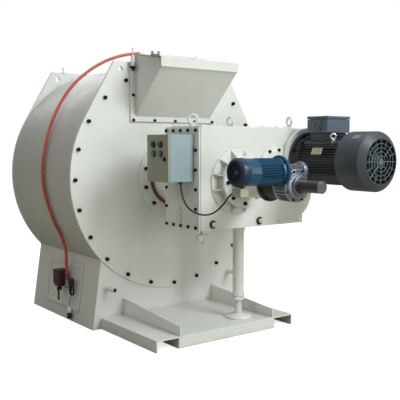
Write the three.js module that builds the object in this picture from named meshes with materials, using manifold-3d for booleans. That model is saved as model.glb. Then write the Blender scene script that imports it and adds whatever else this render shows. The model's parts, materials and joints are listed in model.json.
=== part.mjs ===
// Drum refiner mill: a horizontal jacketed drum with a slow geared rotor whose grinding bars are
// pressed outwards against a grooved liner by a worm-driven pull rod.
// Millimetres, +Z up. The drum axis runs along Y and the drive stands at the -Y end.
// Origin: on the floor under the middle of the drum.
import * as THREE from 'three';
import { mergeVertices } from 'three/addons/utils/BufferGeometryUtils.js';
import Module from 'manifold-3d';

const wasm = await Module();
wasm.setup();

// ---------------------------------------------------------------- driving dimensions
// Inside the "front" group y = 0 is the outer face of the front end plate; -y points to the drive.
const GAP = 0.3;
const AXIS_Z = 932;
const DRUM = { length: 928, outer: 728, skin: 12, linerOuter: 690, linerInner: 672, grooves: 24 };
const PLATE = { radius: 730, thick: 20, topZ: 1653, topHalf: 428, bore: 125, liftX: 385, liftZ: 1606 };
const FEED = { halfWidth: 270, z0: 1335, z1: 1500 };
const BASE = { floorHalf: 595, kneeHalf: 532, kneeZ: 433, set: 6, wall: 12 };
const COVER = { y0: 211, y1: 708, z0: 80, z1: 372, thick: 14 };
const CHUTE = { half: 287, flangeHalf: 323, flangeZ: 1287, footZ: 1320, lipY: -306, lipZ: 1604, wall: 6 };
const LID = { frontZ: 1661, rearZ: 1704, frontY: -314, half: 290, sheet: 5, hingeY: -2, hingeZ: 1712 };
const SKID = { height: 70, front: -634, left: [-537, -380.3], right: [321.3, 480], sheet: 8 };
const GUSSET = { rearZ: 175, frontZ: 125, sheet: 8 };
const HUB = { flange: 262, neck: 170, bore: 91 };
const CASE = { x0: -258, x1: 532, y0: -665, y1: -315, z0: 658, z1: 1246, wall: 14 };
const LOBE = { radius: 170, wall: 8 };
const BELL = { radius: 194, y1: -500 };
const STAGE_1 = { pinion: 25, gear: 50, module: 6, y0: -645, y1: -605, angle: 61.6 };
const STAGE_2 = { pinion: 16, gear: 56, module: 6.25, y0: -575, y1: -525, angle: -47.4 };
const STAGE_3 = { pinion: 15, gear: 60, module: 8, y0: -490, y1: -400, angle: 16.9 };
const SHAFT = { hub: 90, gearSeat: 75, bore: 38 };
const BARS = { count: 4, inner: 605, outer: 655, halfWidth: 40, stemInner: 440, y0: 50, y1: 880 };
const ARM = { half: 32, outer: 540, socketInner: 410, socket: 17.5, stem: 16.5, stations: [190, 740] };
const CAP = { base: 190, flange: 150, neck: 84, flangeY: -738, neckY: -951.7 };
const MOTOR = { flange: 173, body: 146, cowl: 172, grille: 132, face: -700, bodyY: -378, rimY: -545, endY: -577 };
const WORM = { y: -1120, rise: 75, halfX: 80, halfY: 58, z0: 840, z1: 1046 };
const ADJUSTER = { flange: 85, body: 70, cowl: 74, flangeX: -80.3, cowlX: -338, endX: -384 };
const ROD = { radius: 25, front: -1312, rear: 640 };
const TUBE = { outer: 32, inner: 27, front: -1354 };
const BOX = { x0: -430, x1: -270.6, y0: -617, y1: -400, z0: 937, z1: 1200, sheet: 3, door: 14 };
const JACK = { x: 158, y: -485, tube: 35, tubeZ: 205, screw: 22.5, foot: 82, nut: 42 };
const VALVE = { x0: -650, x1: -575, y0: 385, y1: 460, z0: 214, z1: 328 };
const HOSE = { diameter: 20 };
const CABLE = { diameter: 9 };
const LEAD = { diameter: 5 };

// Hose from the water valve up the side of the drum and over its top to the jacket nipple.
const HOSE_ROUTE = [
  [-600, 352, 248.5], [-600, 352, 270], [-603, 345, 320], [-607, 339, 390], [-612, 336, 470],
  [-645, 330, 560], [-688, 326, 647], [-720, 330, 739], [-739, 345, 830], [-747, 358, 932],
  [-741, 363, 1036], [-722, 366, 1132], [-695, 369, 1227], [-654, 372, 1325], [-602, 374, 1420],
  [-537, 376, 1508], [-457, 377, 1584], [-366, 378, 1650], [-267, 377, 1703], [-159, 375, 1741],
  [-52, 372, 1762], [20, 369, 1765], [65, 367, 1763], [98, 366, 1756], [126, 366, 1738],
  [144, 366, 1710], [150, 366, 1686], [150, 366, 1671],
];
const NIPPLE = { x: 150, y: 366, z1: 1670, radius: 12 };
// Lead from the control box down in one slack bight to the adjuster motor's terminal box.
const CABLE_ROUTE = [
  [-350, -600, 922.5], [-350, -603, 897], [-350, -618, 855], [-350, -652, 812], [-350, -700, 786],
  [-350, -760, 773], [-350, -820, 770], [-350, -880, 780], [-350, -940, 806], [-350, -995, 845],
  [-350, -1032, 880], [-350, -1060, 897], [-350, -1076.5, 897],
];
// Spare sensor lead: from the valve to a hank beside it, with a tail hanging down to the plug.
const LEAD_TOP_ROUTE = [
  [-632, 384.5, 298], [-632, 358, 299], [-629, 330, 306], [-620, 304, 301], [-610.5, 291, 289],
  [-610.1, 290.5, 279.5],
];
const LEAD_TAIL_ROUTE = [
  [-593.9, 290.5, 177], [-596, 292, 165], [-602, 297, 142], [-608.5, 302, 119], [-610, 303, 108],
  [-610, 303, 98.3],
];
const HANK = { x: -602, y: 275, z0: 172, z1: 284, halfWidth: 18, halfDepth: 10.6 };
const PLUG = { x: -610, y: 303, z0: 20, z1: 98, radius: 15, collar: 10.5 };

const CREAM = paint(0xdfe3d9, 0.5);
const DRUM_GREY = paint(0xc3c8c2, 0.5);
const BOX_GREY = paint(0x9fb0ad, 0.55);
const DOOR_GREY = paint(0x7c867e, 0.55);
const MOTOR_GREY = paint(0x3d434c, 0.55);
const BLUE = paint(0x14507a, 0.45);
const BLACK = paint(0x17181a, 0.6);
const GREEN = paint(0x12603a, 0.4);
const KNOB_GREY = paint(0x6d736f, 0.5);
const HOSE_RED = paint(0xa84a34, 0.6);
const SILVER = metal(0xaab0bd, 0.35);
const STEEL = metal(0x8f9396, 0.35);
const IRON = metal(0x5b5d5f, 0.6);

function paint(color, roughness) {
  return new THREE.MeshStandardMaterial({ color, roughness, metalness: 0 });
}

function metal(color, roughness) {
  return new THREE.MeshStandardMaterial({ color, roughness, metalness: 1 });
}

// ---------------------------------------------------------------- solids
function facesPointIn(position, index) {
  const a = new THREE.Vector3();
  const b = new THREE.Vector3();
  const c = new THREE.Vector3();
  let volume = 0;
  for (let i = 0; i < index.count; i += 3) {
    a.fromBufferAttribute(position, index.getX(i));
    b.fromBufferAttribute(position, index.getX(i + 1));
    c.fromBufferAttribute(position, index.getX(i + 2));
    volume += a.dot(b.cross(c));
  }
  return volume < 0;
}

function solidOf(source) {
  const geometry = source.clone();
  geometry.deleteAttribute('normal');
  geometry.deleteAttribute('uv');
  const merged = mergeVertices(geometry, 1e-4);
  const triVerts = Uint32Array.from(merged.index.array);
  if (facesPointIn(merged.attributes.position, merged.index)) triVerts.reverse();
  const vertProperties = Float32Array.from(merged.attributes.position.array);
  const mesh = new wasm.Mesh({ numProp: 3, vertProperties, triVerts });
  return new wasm.Manifold(mesh);
}

function geometryOf(solid) {
  const mesh = solid.getMesh();
  const geometry = new THREE.BufferGeometry();
  geometry.setAttribute('position', new THREE.BufferAttribute(mesh.vertProperties, 3));
  geometry.setIndex(new THREE.BufferAttribute(mesh.triVerts, 1));
  geometry.computeVertexNormals();
  return geometry;
}

function join(first, ...others) {
  return others.reduce((solid, other) => solid.add(other), first);
}

function cut(first, ...others) {
  return others.reduce((solid, other) => solid.subtract(other), first);
}

function block(x0, x1, y0, y1, z0, z1) {
  const geometry = new THREE.BoxGeometry(x1 - x0, y1 - y0, z1 - z0);
  return solidOf(geometry.translate((x0 + x1) / 2, (y0 + y1) / 2, (z0 + z1) / 2));
}

function rodY(radius, y0, y1, x = 0, z = 0, sides = 24) {
  const geometry = new THREE.CylinderGeometry(radius, radius, y1 - y0, sides);
  return solidOf(geometry.translate(x, (y0 + y1) / 2, z));
}

function rodX(radius, x0, x1, y, z, sides = 20) {
  const geometry = new THREE.CylinderGeometry(radius, radius, x1 - x0, sides).rotateZ(Math.PI / 2);
  return solidOf(geometry.translate((x0 + x1) / 2, y, z));
}

function rodZ(radius, z0, z1, x, y, sides = 24) {
  const geometry = new THREE.CylinderGeometry(radius, radius, z1 - z0, sides).rotateX(Math.PI / 2);
  return solidOf(geometry.translate(x, y, (z0 + z1) / 2));
}

// Turned body about the Y axis from a closed outline of [radius, y] points.
function turnedY(outline, x = 0, z = 0, sides = 28) {
  const points = outline.map(([radius, y]) => new THREE.Vector2(radius, y));
  points.push(points[0].clone());
  return solidOf(new THREE.LatheGeometry(points, sides).translate(x, 0, z));
}

function shapeOf(points) {
  return new THREE.Shape(points.map(([u, v]) => new THREE.Vector2(u, v)));
}

// Prism with an outline of [x, z] points, from y0 to y1.
function prismY(points, y0, y1) {
  const options = { depth: y1 - y0, bevelEnabled: false };
  const geometry = new THREE.ExtrudeGeometry(shapeOf(points), options).rotateX(Math.PI / 2);
  return solidOf(geometry.translate(0, y1, 0));
}

// Prism with an outline of [y, z] points, from x0 to x1.
function prismX(points, x0, x1) {
  const options = { depth: x1 - x0, bevelEnabled: false };
  const geometry = new THREE.ExtrudeGeometry(shapeOf(points), options);
  const alongX = new THREE.Vector3(1, 0, 0);
  const alongY = new THREE.Vector3(0, 1, 0);
  const alongZ = new THREE.Vector3(0, 0, 1);
  geometry.applyMatrix4(new THREE.Matrix4().makeBasis(alongY, alongZ, alongX));
  return solidOf(geometry.translate(x0, 0, 0));
}

function tubeAlong(route, diameter, sides, steps) {
  const section = new THREE.Shape();
  for (let i = 0; i < sides; i += 1) {
    const angle = (2 * Math.PI * i) / sides;
    const u = (diameter / 2) * Math.cos(angle);
    const v = (diameter / 2) * Math.sin(angle);
    if (i === 0) section.moveTo(u, v);
    else section.lineTo(u, v);
  }
  const path = new THREE.CatmullRomCurve3(route.map((point) => new THREE.Vector3(...point)));
  return solidOf(new THREE.ExtrudeGeometry(section, { steps, bevelEnabled: false, extrudePath: path }));
}

function polar(radius, degrees, x = 0, z = 0) {
  const angle = THREE.MathUtils.degToRad(degrees);
  return [x + radius * Math.cos(angle), z + radius * Math.sin(angle)];
}

// Spur gear outline; one tooth is centred on the direction "phase" (degrees from +X towards +Z).
function gearOutline(teeth, module, phase, x, z) {
  const pitch = (module * teeth) / 2;
  const step = 360 / teeth;
  const points = [];
  for (let i = 0; i < teeth; i += 1) {
    const centre = phase + i * step;
    points.push(polar(pitch - 1.2 * module, centre - 0.31 * step, x, z));
    points.push(polar(pitch + 0.85 * module, centre - 0.11 * step, x, z));
    points.push(polar(pitch + 0.85 * module, centre + 0.11 * step, x, z));
    points.push(polar(pitch - 1.2 * module, centre + 0.31 * step, x, z));
  }
  return points;
}

// Puts a solid given in "front" coordinates on a mesh whose own origin is the pivot.
function addPart(parent, name, solid, material, pivot = [0, 0, 0]) {
  const geometry = geometryOf(solid).translate(-pivot[0], -pivot[1], -pivot[2]);
  const mesh = new THREE.Mesh(geometry, material);
  mesh.name = name;
  mesh.position.set(...pivot);
  parent.add(mesh);
  return mesh;
}

// ---------------------------------------------------------------- gear train layout
const MAIN = { x: 0, z: AXIS_Z };
const LAY = nextShaft(MAIN, STAGE_3);
const SECOND = nextShaft(LAY, STAGE_2);
const DRIVE = nextShaft(SECOND, STAGE_1);

function nextShaft(from, stage) {
  const distance = (stage.module * (stage.pinion + stage.gear)) / 2;
  const [x, z] = polar(distance, stage.angle, from.x, from.z);
  return { x, z };
}

// The gear has a tooth on the line of centres and the pinion has a gap there.
function gearSolid(stage, centre, bore) {
  const outline = gearOutline(stage.gear, stage.module, stage.angle, centre.x, centre.z);
  return cut(prismY(outline, stage.y0, stage.y1), rodY(bore, stage.y0 - 1, stage.y1 + 1, centre.x, centre.z));
}

function pinionSolid(stage, centre) {
  const phase = stage.angle + 180 + 180 / stage.pinion;
  const outline = gearOutline(stage.pinion, stage.module, phase, centre.x, centre.z);
  return prismY(outline, stage.y0 - 3, stage.y1 + 3);
}

// ---------------------------------------------------------------- drum and base
function plateOutline() {
  const rise = PLATE.topZ - AXIS_Z;
  const reach = Math.hypot(PLATE.topHalf, rise);
  const corner = THREE.MathUtils.radToDeg(Math.atan2(rise, PLATE.topHalf));
  const tangent = THREE.MathUtils.radToDeg(Math.acos(PLATE.radius / reach));
  const right = corner - tangent;
  const left = 180 - right;
  const steps = 52;
  const points = [[PLATE.topHalf, PLATE.topZ], [-PLATE.topHalf, PLATE.topZ]];
  for (let i = 0; i <= steps; i += 1) {
    points.push(polar(PLATE.radius, left + ((360 + right - left) * i) / steps, 0, AXIS_Z));
  }
  return points;
}

function endPlate(y0) {
  const y1 = y0 + PLATE.thick;
  const holes = [-PLATE.liftX, PLATE.liftX].map((x) => rodY(16, y0 - 1, y1 + 1, x, PLATE.liftZ, 12));
  const bore = rodY(PLATE.bore, y0 - 1, y1 + 1, 0, AXIS_Z, 32);
  return cut(prismY(plateOutline(), y0, y1), bore, ...holes);
}

function frontPlate() {
  return cut(endPlate(0), block(-FEED.halfWidth, FEED.halfWidth, -1, PLATE.thick + 1, FEED.z0, FEED.z1));
}

function drumJacket() {
  const y0 = PLATE.thick + GAP;
  const y1 = DRUM.length - PLATE.thick - GAP;
  const inner = DRUM.outer - DRUM.skin;
  const ring = turnedY([[inner, y0], [DRUM.outer, y0], [DRUM.outer, y1], [inner, y1]], 0, AXIS_Z, 64);
  const nipple = rodZ(NIPPLE.radius, AXIS_Z + DRUM.outer - 40, NIPPLE.z1, NIPPLE.x, NIPPLE.y, 12);
  return cut(join(ring, nipple), rodZ(7, AXIS_Z + DRUM.outer - 45, NIPPLE.z1 + 1, NIPPLE.x, NIPPLE.y, 8));
}

function drumLiner() {
  const y0 = PLATE.thick + GAP;
  const y1 = DRUM.length - PLATE.thick - GAP;
  const step = 360 / DRUM.grooves;
  const outline = [];
  for (let i = 0; i < DRUM.grooves; i += 1) {
    outline.push(polar(DRUM.linerInner, i * step, 0, AXIS_Z));
    outline.push(polar(DRUM.linerInner, (i + 0.7) * step, 0, AXIS_Z));
    outline.push(polar(DRUM.linerInner + 7, (i + 0.85) * step, 0, AXIS_Z));
  }
  const bore = prismY(outline, y0 - 1, y1 + 1);
  return cut(rodY(DRUM.linerOuter, y0, y1, 0, AXIS_Z, 64), bore);
}

function baseOutline(inset) {
  const half = BASE.floorHalf - inset;
  const knee = BASE.kneeHalf - inset;
  const lean = (BASE.floorHalf - BASE.kneeHalf) / BASE.kneeZ;
  const top = BASE.kneeZ + 40;
  const topHalf = knee - 40 * lean;
  return [[-half, inset], [half, inset], [topHalf, top], [-topHalf, top]];
}

function baseBox() {
  const y1 = DRUM.length - BASE.set;
  const outer = prismY(baseOutline(0), BASE.set, y1);
  const inner = prismY(baseOutline(BASE.wall), BASE.set + BASE.wall, y1 - BASE.wall);
  const saddle = rodY(DRUM.outer + 2, PLATE.thick, DRUM.length - PLATE.thick, 0, AXIS_Z, 64);
  const frontSeat = rodY(PLATE.radius + 2, -1, PLATE.thick + GAP, 0, AXIS_Z, 64);
  const rearSeat = rodY(PLATE.radius + 2, DRUM.length - PLATE.thick - GAP, DRUM.length, 0, AXIS_Z, 64);
  const window = block(-650, -500, COVER.y0 + 40, COVER.y1 - 40, COVER.z0 + 40, COVER.z1 - 40);
  return cut(outer, inner, saddle, frontSeat, rearSeat, window);
}

function sideX(z) {
  return -BASE.floorHalf + ((BASE.floorHalf - BASE.kneeHalf) * z) / BASE.kneeZ;
}

// Pan cover that lies on the leaning side wall over its access window.
function inspectionCover() {
  const skin = (z0, z1, near, far) => [
    [sideX(z0) - near, z0], [sideX(z1) - near, z1], [sideX(z1) - far, z1], [sideX(z0) - far, z0],
  ];
  const slab = prismY(skin(COVER.z0, COVER.z1, GAP, COVER.thick), COVER.y0, COVER.y1);
  const border = 26;
  const pocket = skin(COVER.z0 + border, COVER.z1 - border, COVER.thick - 7, COVER.thick + 5);
  return cut(slab, prismY(pocket, COVER.y0 + border, COVER.y1 - border));
}

function skidChannel([x0, x1]) {
  const y1 = BASE.set - GAP;
  const inner = block(x0 + SKID.sheet, x1 - SKID.sheet, SKID.front - 1, y1 + 1, -1, SKID.height - SKID.sheet);
  return cut(block(x0, x1, SKID.front, y1, 0, SKID.height), inner);
}

function serviceTray() {
  const x0 = SKID.left[1] + GAP;
  const x1 = SKID.right[0] - GAP;
  const y1 = BASE.set - GAP;
  const y0 = SKID.front;
  const deck = block(x0, x1, y0, y1, SKID.height - 6, SKID.height);
  const lip = block(x0, x1, y0, y0 + 6, 0, SKID.height);
  const side = [[y0, SKID.height - 6], [y1, SKID.height - 6], [y1, GUSSET.rearZ], [y0, GUSSET.frontZ]];
  const left = prismX(side, x0, x0 + GUSSET.sheet);
  const right = prismX(side, x1 - GUSSET.sheet, x1);
  return join(deck, lip, left, right);
}

// ---------------------------------------------------------------- feed chute
function feedChute() {
  const rearTop = LID.rearZ - LID.sheet - 1;
  const frontTop = LID.frontZ - LID.sheet - 1;
  const wall = CHUTE.wall;
  const outer = [[-12, CHUTE.footZ], [CHUTE.lipY, CHUTE.lipZ], [CHUTE.lipY, frontTop], [-12, rearTop]];
  const inner = [[-1, CHUTE.footZ + 14], [CHUTE.lipY + wall, CHUTE.lipZ + 3],
    [CHUTE.lipY + wall, frontTop + 60], [-1, rearTop + 60]];
  const flange = block(-CHUTE.flangeHalf, CHUTE.flangeHalf, -12, -GAP, CHUTE.flangeZ, PLATE.topZ);
  const backWall = block(-CHUTE.half, CHUTE.half, -12, -GAP, PLATE.topZ - 5, rearTop);
  const mouth = block(-FEED.halfWidth, FEED.halfWidth, -20, 1, FEED.z0, FEED.z1);
  const body = prismX(outer, -CHUTE.half, CHUTE.half);
  const room = cut(prismX(inner, -CHUTE.half + wall, CHUTE.half - wall), block(-400, 400, -12, 5, 1200, 1800));
  return cut(join(body, flange, backWall), room, mouth);
}

function chuteLid() {
  const sheet = LID.sheet;
  const roof = [[LID.frontY, LID.frontZ - sheet], [-16, LID.rearZ - sheet], [-16, LID.rearZ],
    [LID.frontY, LID.frontZ]];
  const skirt = [[LID.frontY, CHUTE.lipZ], [LID.frontY + sheet, CHUTE.lipZ],
    [LID.frontY + sheet, LID.frontZ], [LID.frontY, LID.frontZ]];
  const hook = [[-40, LID.rearZ - 5], [-6, LID.hingeZ - 3], [-6, LID.hingeZ + 3], [-40, LID.rearZ]];
  const barrel = rodX(7, -150, 150, LID.hingeY, LID.hingeZ, 16);
  const strap = prismX(hook, -120, 120);
  return join(prismX(roof, -LID.half, LID.half), prismX(skirt, -LID.half, LID.half), barrel, strap);
}

// ---------------------------------------------------------------- hub and gearbox
function hubHousing() {
  const rear = CASE.y1 + GAP;
  return turnedY([[HUB.bore, rear], [HUB.neck, rear], [HUB.neck, -14], [HUB.flange, -14],
    [HUB.flange, -GAP], [PLATE.bore - 2, -GAP], [PLATE.bore - 2, PLATE.thick], [HUB.bore, PLATE.thick]],
  0, AXIS_Z);
}

function gearboxCase() {
  const wall = CASE.wall;
  const yIn0 = CASE.y0 + wall;
  const yIn1 = CASE.y1 - wall;
  const shell = join(block(CASE.x0, CASE.x1, CASE.y0, CASE.y1, CASE.z0, CASE.z1),
    rodY(LOBE.radius, CASE.y0, CASE.y1, SECOND.x, SECOND.z, 36),
    rodY(BELL.radius, CASE.y0, BELL.y1, DRIVE.x, DRIVE.z, 36));
  const room = join(block(CASE.x0 + wall, CASE.x1 - wall, yIn0, yIn1, CASE.z0 + wall, CASE.z1 - wall),
    rodY(LOBE.radius - LOBE.wall, yIn0, yIn1, SECOND.x, SECOND.z, 24),
    rodY(BELL.radius - wall, yIn0, BELL.y1 - wall, DRIVE.x, DRIVE.z, 24));
  const window = block(CASE.x0 - 1, CASE.x0 + wall + 1, yIn0 + 20, yIn1 - 20, CASE.z0 + 34, CASE.z1 - 34);
  return cut(shell, room, window,
    rodY(100, CASE.y0 - 1, yIn0 + 1, 0, AXIS_Z, 24),
    rodY(HUB.bore + 2, yIn1 - 1, CASE.y1 + 1, 0, AXIS_Z, 24),
    rodY(60, CASE.y0 - 1, yIn0 + 1, LAY.x, LAY.z, 16),
    rodY(32, yIn1 - 1, yIn1 + 8, LAY.x, LAY.z, 16),
    rodY(28, yIn0 - 8, yIn0 + 1, SECOND.x, SECOND.z, 16),
    rodY(28, yIn1 - 1, yIn1 + 8, SECOND.x, SECOND.z, 16),
    rodY(120, CASE.y0 - 1, yIn0 + 1, DRIVE.x, DRIVE.z, 24));
}

function gearboxSideCover() {
  return block(CASE.x0 - 12, CASE.x0 - GAP, CASE.y0 + 3, CASE.y1 - 3, CASE.z0 + 3, CASE.z1 - 3);
}

function mainBearingCap() {
  const base = CASE.y0 - GAP;
  return turnedY([[82, base], [CAP.base, base], [CAP.base, base - 10], [CAP.flange - 8, CAP.flangeY + 18],
    [CAP.flange, CAP.flangeY + 18], [CAP.flange, CAP.flangeY], [CAP.neck, CAP.flangeY - 4],
    [CAP.neck, CAP.neckY], [45, CAP.neckY], [45, CAP.flangeY + 8], [82, CAP.flangeY + 8]], 0, AXIS_Z);
}

function layshaftCap() {
  const base = CASE.y0 - GAP;
  const cap = turnedY([[0, base], [116, base], [116, base - 12], [84, base - 16], [84, base - 22],
    [0, base - 22]], LAY.x, LAY.z, 24);
  const besideMain = rodY(CAP.base + 3, base - 60, base + 20, 0, AXIS_Z, 36);
  return cut(cap, besideMain, rodY(200, base - 60, base + 20, DRIVE.x, DRIVE.z, 36));
}

function motorAdapterRing() {
  const y0 = MOTOR.face + GAP;
  const y1 = CASE.y0 - GAP;
  return turnedY([[118, y0], [198, y0], [198, y1 - 6], [192, y1], [118, y1]], DRIVE.x, DRIVE.z);
}

function rearBearingHousing() {
  const y = DRUM.length + GAP;
  return turnedY([[PLATE.bore - 2, y - PLATE.thick], [PLATE.bore - 2, y], [235, y], [235, y + 16],
    [150, y + 22], [150, y + 70], [110, y + 82], [0, y + 82], [0, y + 66], [91, y + 66],
    [91, y - PLATE.thick]], 0, AXIS_Z, 24);
}

// ---------------------------------------------------------------- rotor
function rotorArm(y, degrees) {
  const half = ARM.half;
  const arm = new THREE.BoxGeometry(ARM.outer - 60, 2 * half, 2 * half);
  arm.translate((ARM.outer + 60) / 2, 0, 0);
  const socket = new THREE.CylinderGeometry(ARM.socket, ARM.socket, ARM.outer - ARM.socketInner + 2, 8);
  socket.rotateZ(Math.PI / 2).translate((ARM.outer + ARM.socketInner + 2) / 2, 0, 0);
  const turn = THREE.MathUtils.degToRad(-degrees);
  const place = (geometry) => solidOf(geometry.rotateY(turn).translate(0, y, AXIS_Z));
  return { arm: place(arm), socket: place(socket) };
}

function barAngle(i) {
  return 45 + (360 / BARS.count) * i;
}

function rotorShaft() {
  const turned = turnedY([[SHAFT.bore, -708], [SHAFT.gearSeat, -708], [SHAFT.gearSeat, CASE.y1 - 16],
    [SHAFT.hub, CASE.y1 - 14], [SHAFT.hub, DRUM.length + 60], [SHAFT.bore, DRUM.length + 60]], 0, AXIS_Z);
  const arms = [];
  const sockets = [];
  for (let i = 0; i < BARS.count; i += 1) {
    for (const y of ARM.stations) {
      const { arm, socket } = rotorArm(y, barAngle(i));
      arms.push(arm);
      sockets.push(socket);
    }
  }
  const bore = rodY(SHAFT.bore, -720, DRUM.length + 80, 0, AXIS_Z);
  return cut(join(turned, ...arms), ...sockets, bore);
}

function grindingBar(degrees) {
  const turn = THREE.MathUtils.degToRad(-degrees);
  const place = (geometry) => solidOf(geometry.rotateY(turn).translate(0, 0, AXIS_Z));
  const depth = BARS.outer - BARS.inner;
  const bar = new THREE.BoxGeometry(depth, BARS.y1 - BARS.y0, 2 * BARS.halfWidth);
  bar.translate((BARS.outer + BARS.inner) / 2, (BARS.y0 + BARS.y1) / 2, 0);
  const stems = ARM.stations.map((y) => {
    const length = BARS.inner + 5 - BARS.stemInner;
    const stem = new THREE.CylinderGeometry(ARM.stem, ARM.stem, length, 8).rotateZ(Math.PI / 2);
    return place(stem.translate(BARS.stemInner + length / 2, y, 0));
  });
  return join(place(bar), ...stems);
}

function thrustSpider() {
  const ring = turnedY([[SHAFT.hub + 1, 290], [130, 290], [130, 330], [SHAFT.hub + 1, 330]], 0, AXIS_Z);
  const wedges = [];
  for (let i = 0; i < BARS.count; i += 1) {
    const turn = THREE.MathUtils.degToRad(-barAngle(i));
    const wedge = new THREE.BoxGeometry(70, 40, 30).translate(160, 310, 0);
    wedges.push(solidOf(wedge.rotateY(turn).translate(0, 0, AXIS_Z)));
  }
  return join(ring, ...wedges);
}

function layshaft() {
  const shaft = rodY(29, CASE.y0 + 2, CASE.y1 - 8, LAY.x, LAY.z, 24);
  return join(shaft, pinionSolid(STAGE_3, LAY));
}

function secondShaft() {
  const shaft = rodY(25, CASE.y0 + 8, CASE.y1 - 8, SECOND.x, SECOND.z, 24);
  return join(shaft, pinionSolid(STAGE_2, SECOND));
}

// ---------------------------------------------------------------- main motor
function motorY(y) {
  return MOTOR.face + y;
}

function mainMotorFrame() {
  return turnedY([[62, motorY(0)], [MOTOR.flange, motorY(0)], [MOTOR.flange, motorY(-18)],
    [MOTOR.body, motorY(-24)], [MOTOR.body, motorY(MOTOR.bodyY)], [62, motorY(MOTOR.bodyY)]],
  DRIVE.x, DRIVE.z);
}

function mainMotorCowl() {
  const sheet = 4;
  const start = motorY(MOTOR.bodyY - GAP);
  const rim = motorY(MOTOR.rimY);
  const end = motorY(MOTOR.endY);
  const shell = turnedY([[MOTOR.cowl, start], [MOTOR.cowl, rim], [MOTOR.grille, end],
    [MOTOR.grille - 8, end], [MOTOR.grille - 8, end + sheet], [MOTOR.grille - 3, end + sheet],
    [MOTOR.cowl - sheet, rim + 2], [MOTOR.cowl - sheet, start]], DRIVE.x, DRIVE.z);
  const spokes = [];
  for (let i = 0; i < 4; i += 1) {
    const spoke = new THREE.BoxGeometry(MOTOR.grille - 20, sheet, 6).translate(MOTOR.grille / 2 + 6, 0, 0);
    spoke.rotateY((Math.PI * i) / 2).translate(DRIVE.x, end + sheet / 2, DRIVE.z);
    spokes.push(solidOf(spoke));
  }
  return join(shell, rodY(24, end, end + sheet, DRIVE.x, DRIVE.z, 16), ...spokes);
}

function mainTerminalBox() {
  const { x, z } = DRIVE;
  const body = block(x - 98, x + 100, motorY(-250), motorY(-80), z + 165, z + 264);
  const neck = block(x - 60, x + 60, motorY(-225), motorY(-105), z + 110, z + 190);
  return cut(join(body, neck), rodY(MOTOR.body + 1, motorY(-260), motorY(-60), x, z, 32));
}

function mainMotorShaft() {
  const shaft = rodY(24, motorY(-545), STAGE_1.y1 + 4, DRIVE.x, DRIVE.z, 16);
  const core = rodY(58, motorY(-360), motorY(-30), DRIVE.x, DRIVE.z, 20);
  return join(shaft, core, pinionSolid(STAGE_1, DRIVE));
}

function mainMotorFan() {
  const y0 = motorY(-535);
  const y1 = motorY(-495);
  const hub = turnedY([[24.5, y0], [42, y0], [42, y1 - 6], [112, y1 - 4], [112, y1], [24.5, y1]],
    DRIVE.x, DRIVE.z, 20);
  const blades = [];
  for (let i = 0; i < 5; i += 1) {
    const blade = new THREE.BoxGeometry(74, y1 - y0 - 4, 4).translate(74, (y0 + y1) / 2, 0);
    blades.push(solidOf(blade.rotateY((2 * Math.PI * i) / 5).translate(DRIVE.x, 0, DRIVE.z)));
  }
  return join(hub, ...blades);
}

// ---------------------------------------------------------------- pressure adjuster
const WORM_Z = AXIS_Z + WORM.rise;

function spindleHousing() {
  const rear = CAP.neckY - GAP;
  const front = WORM.y + WORM.halfY + GAP;
  return turnedY([[45, rear], [96, rear], [96, rear - 14], [78, rear - 18], [78, front], [45, front]],
    0, AXIS_Z);
}

function wormHousing() {
  const y0 = WORM.y - WORM.halfY;
  const y1 = WORM.y + WORM.halfY;
  const barrel = rodY(90, y0 + 8, y1, 0, AXIS_Z, 24);
  const body = join(block(-WORM.halfX, WORM.halfX, y0 + 14, y1 - 14, WORM.z0 + 20, WORM.z1),
    barrel.intersect(block(-WORM.halfX, WORM.halfX, y0, y1, WORM.z0 - 20, WORM.z1)),
    rodY(52, y0 - 8, y0 + 10, 0, AXIS_Z, 20));
  const room = join(rodY(66, WORM.y - 24, WORM.y + 24, 0, AXIS_Z, 16),
    block(-62, 62, WORM.y - 24, WORM.y + 24, AXIS_Z + 20, WORM_Z + 24));
  return cut(body, room, rodY(28, y0 - 20, y1 + 20, 0, AXIS_Z, 16),
    rodX(20, -WORM.halfX - 5, -40, WORM.y, WORM_Z, 16), rodX(17, 40, 72, WORM.y, WORM_Z, 12));
}

function wormWheel() {
  const outline = gearOutline(30, 3.7, 0, 0, AXIS_Z);
  return cut(prismY(outline, WORM.y - 15, WORM.y + 15), rodY(ROD.radius + 0.5, WORM.y - 20, WORM.y + 20, 0, AXIS_Z));
}

function pullRod() {
  return rodY(ROD.radius, ROD.front, ROD.rear, 0, AXIS_Z, 16);
}

function spindleTube() {
  const rear = WORM.y - WORM.halfY - 8 - GAP;
  return turnedY([[TUBE.inner, rear], [46, rear], [46, rear - 10], [TUBE.outer, rear - 12],
    [TUBE.outer, TUBE.front], [0, TUBE.front], [0, TUBE.front + 5], [TUBE.inner, TUBE.front + 5]],
  0, AXIS_Z, 24);
}

// Turned body about the worm shaft's axis from a closed outline of [radius, x] points.
function turnedX(outline, sides = 20) {
  const points = outline.map(([radius, x]) => new THREE.Vector2(radius, x));
  points.push(points[0].clone());
  const geometry = new THREE.LatheGeometry(points, sides).rotateZ(-Math.PI / 2);
  return solidOf(geometry.translate(0, WORM.y, WORM_Z));
}

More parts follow.
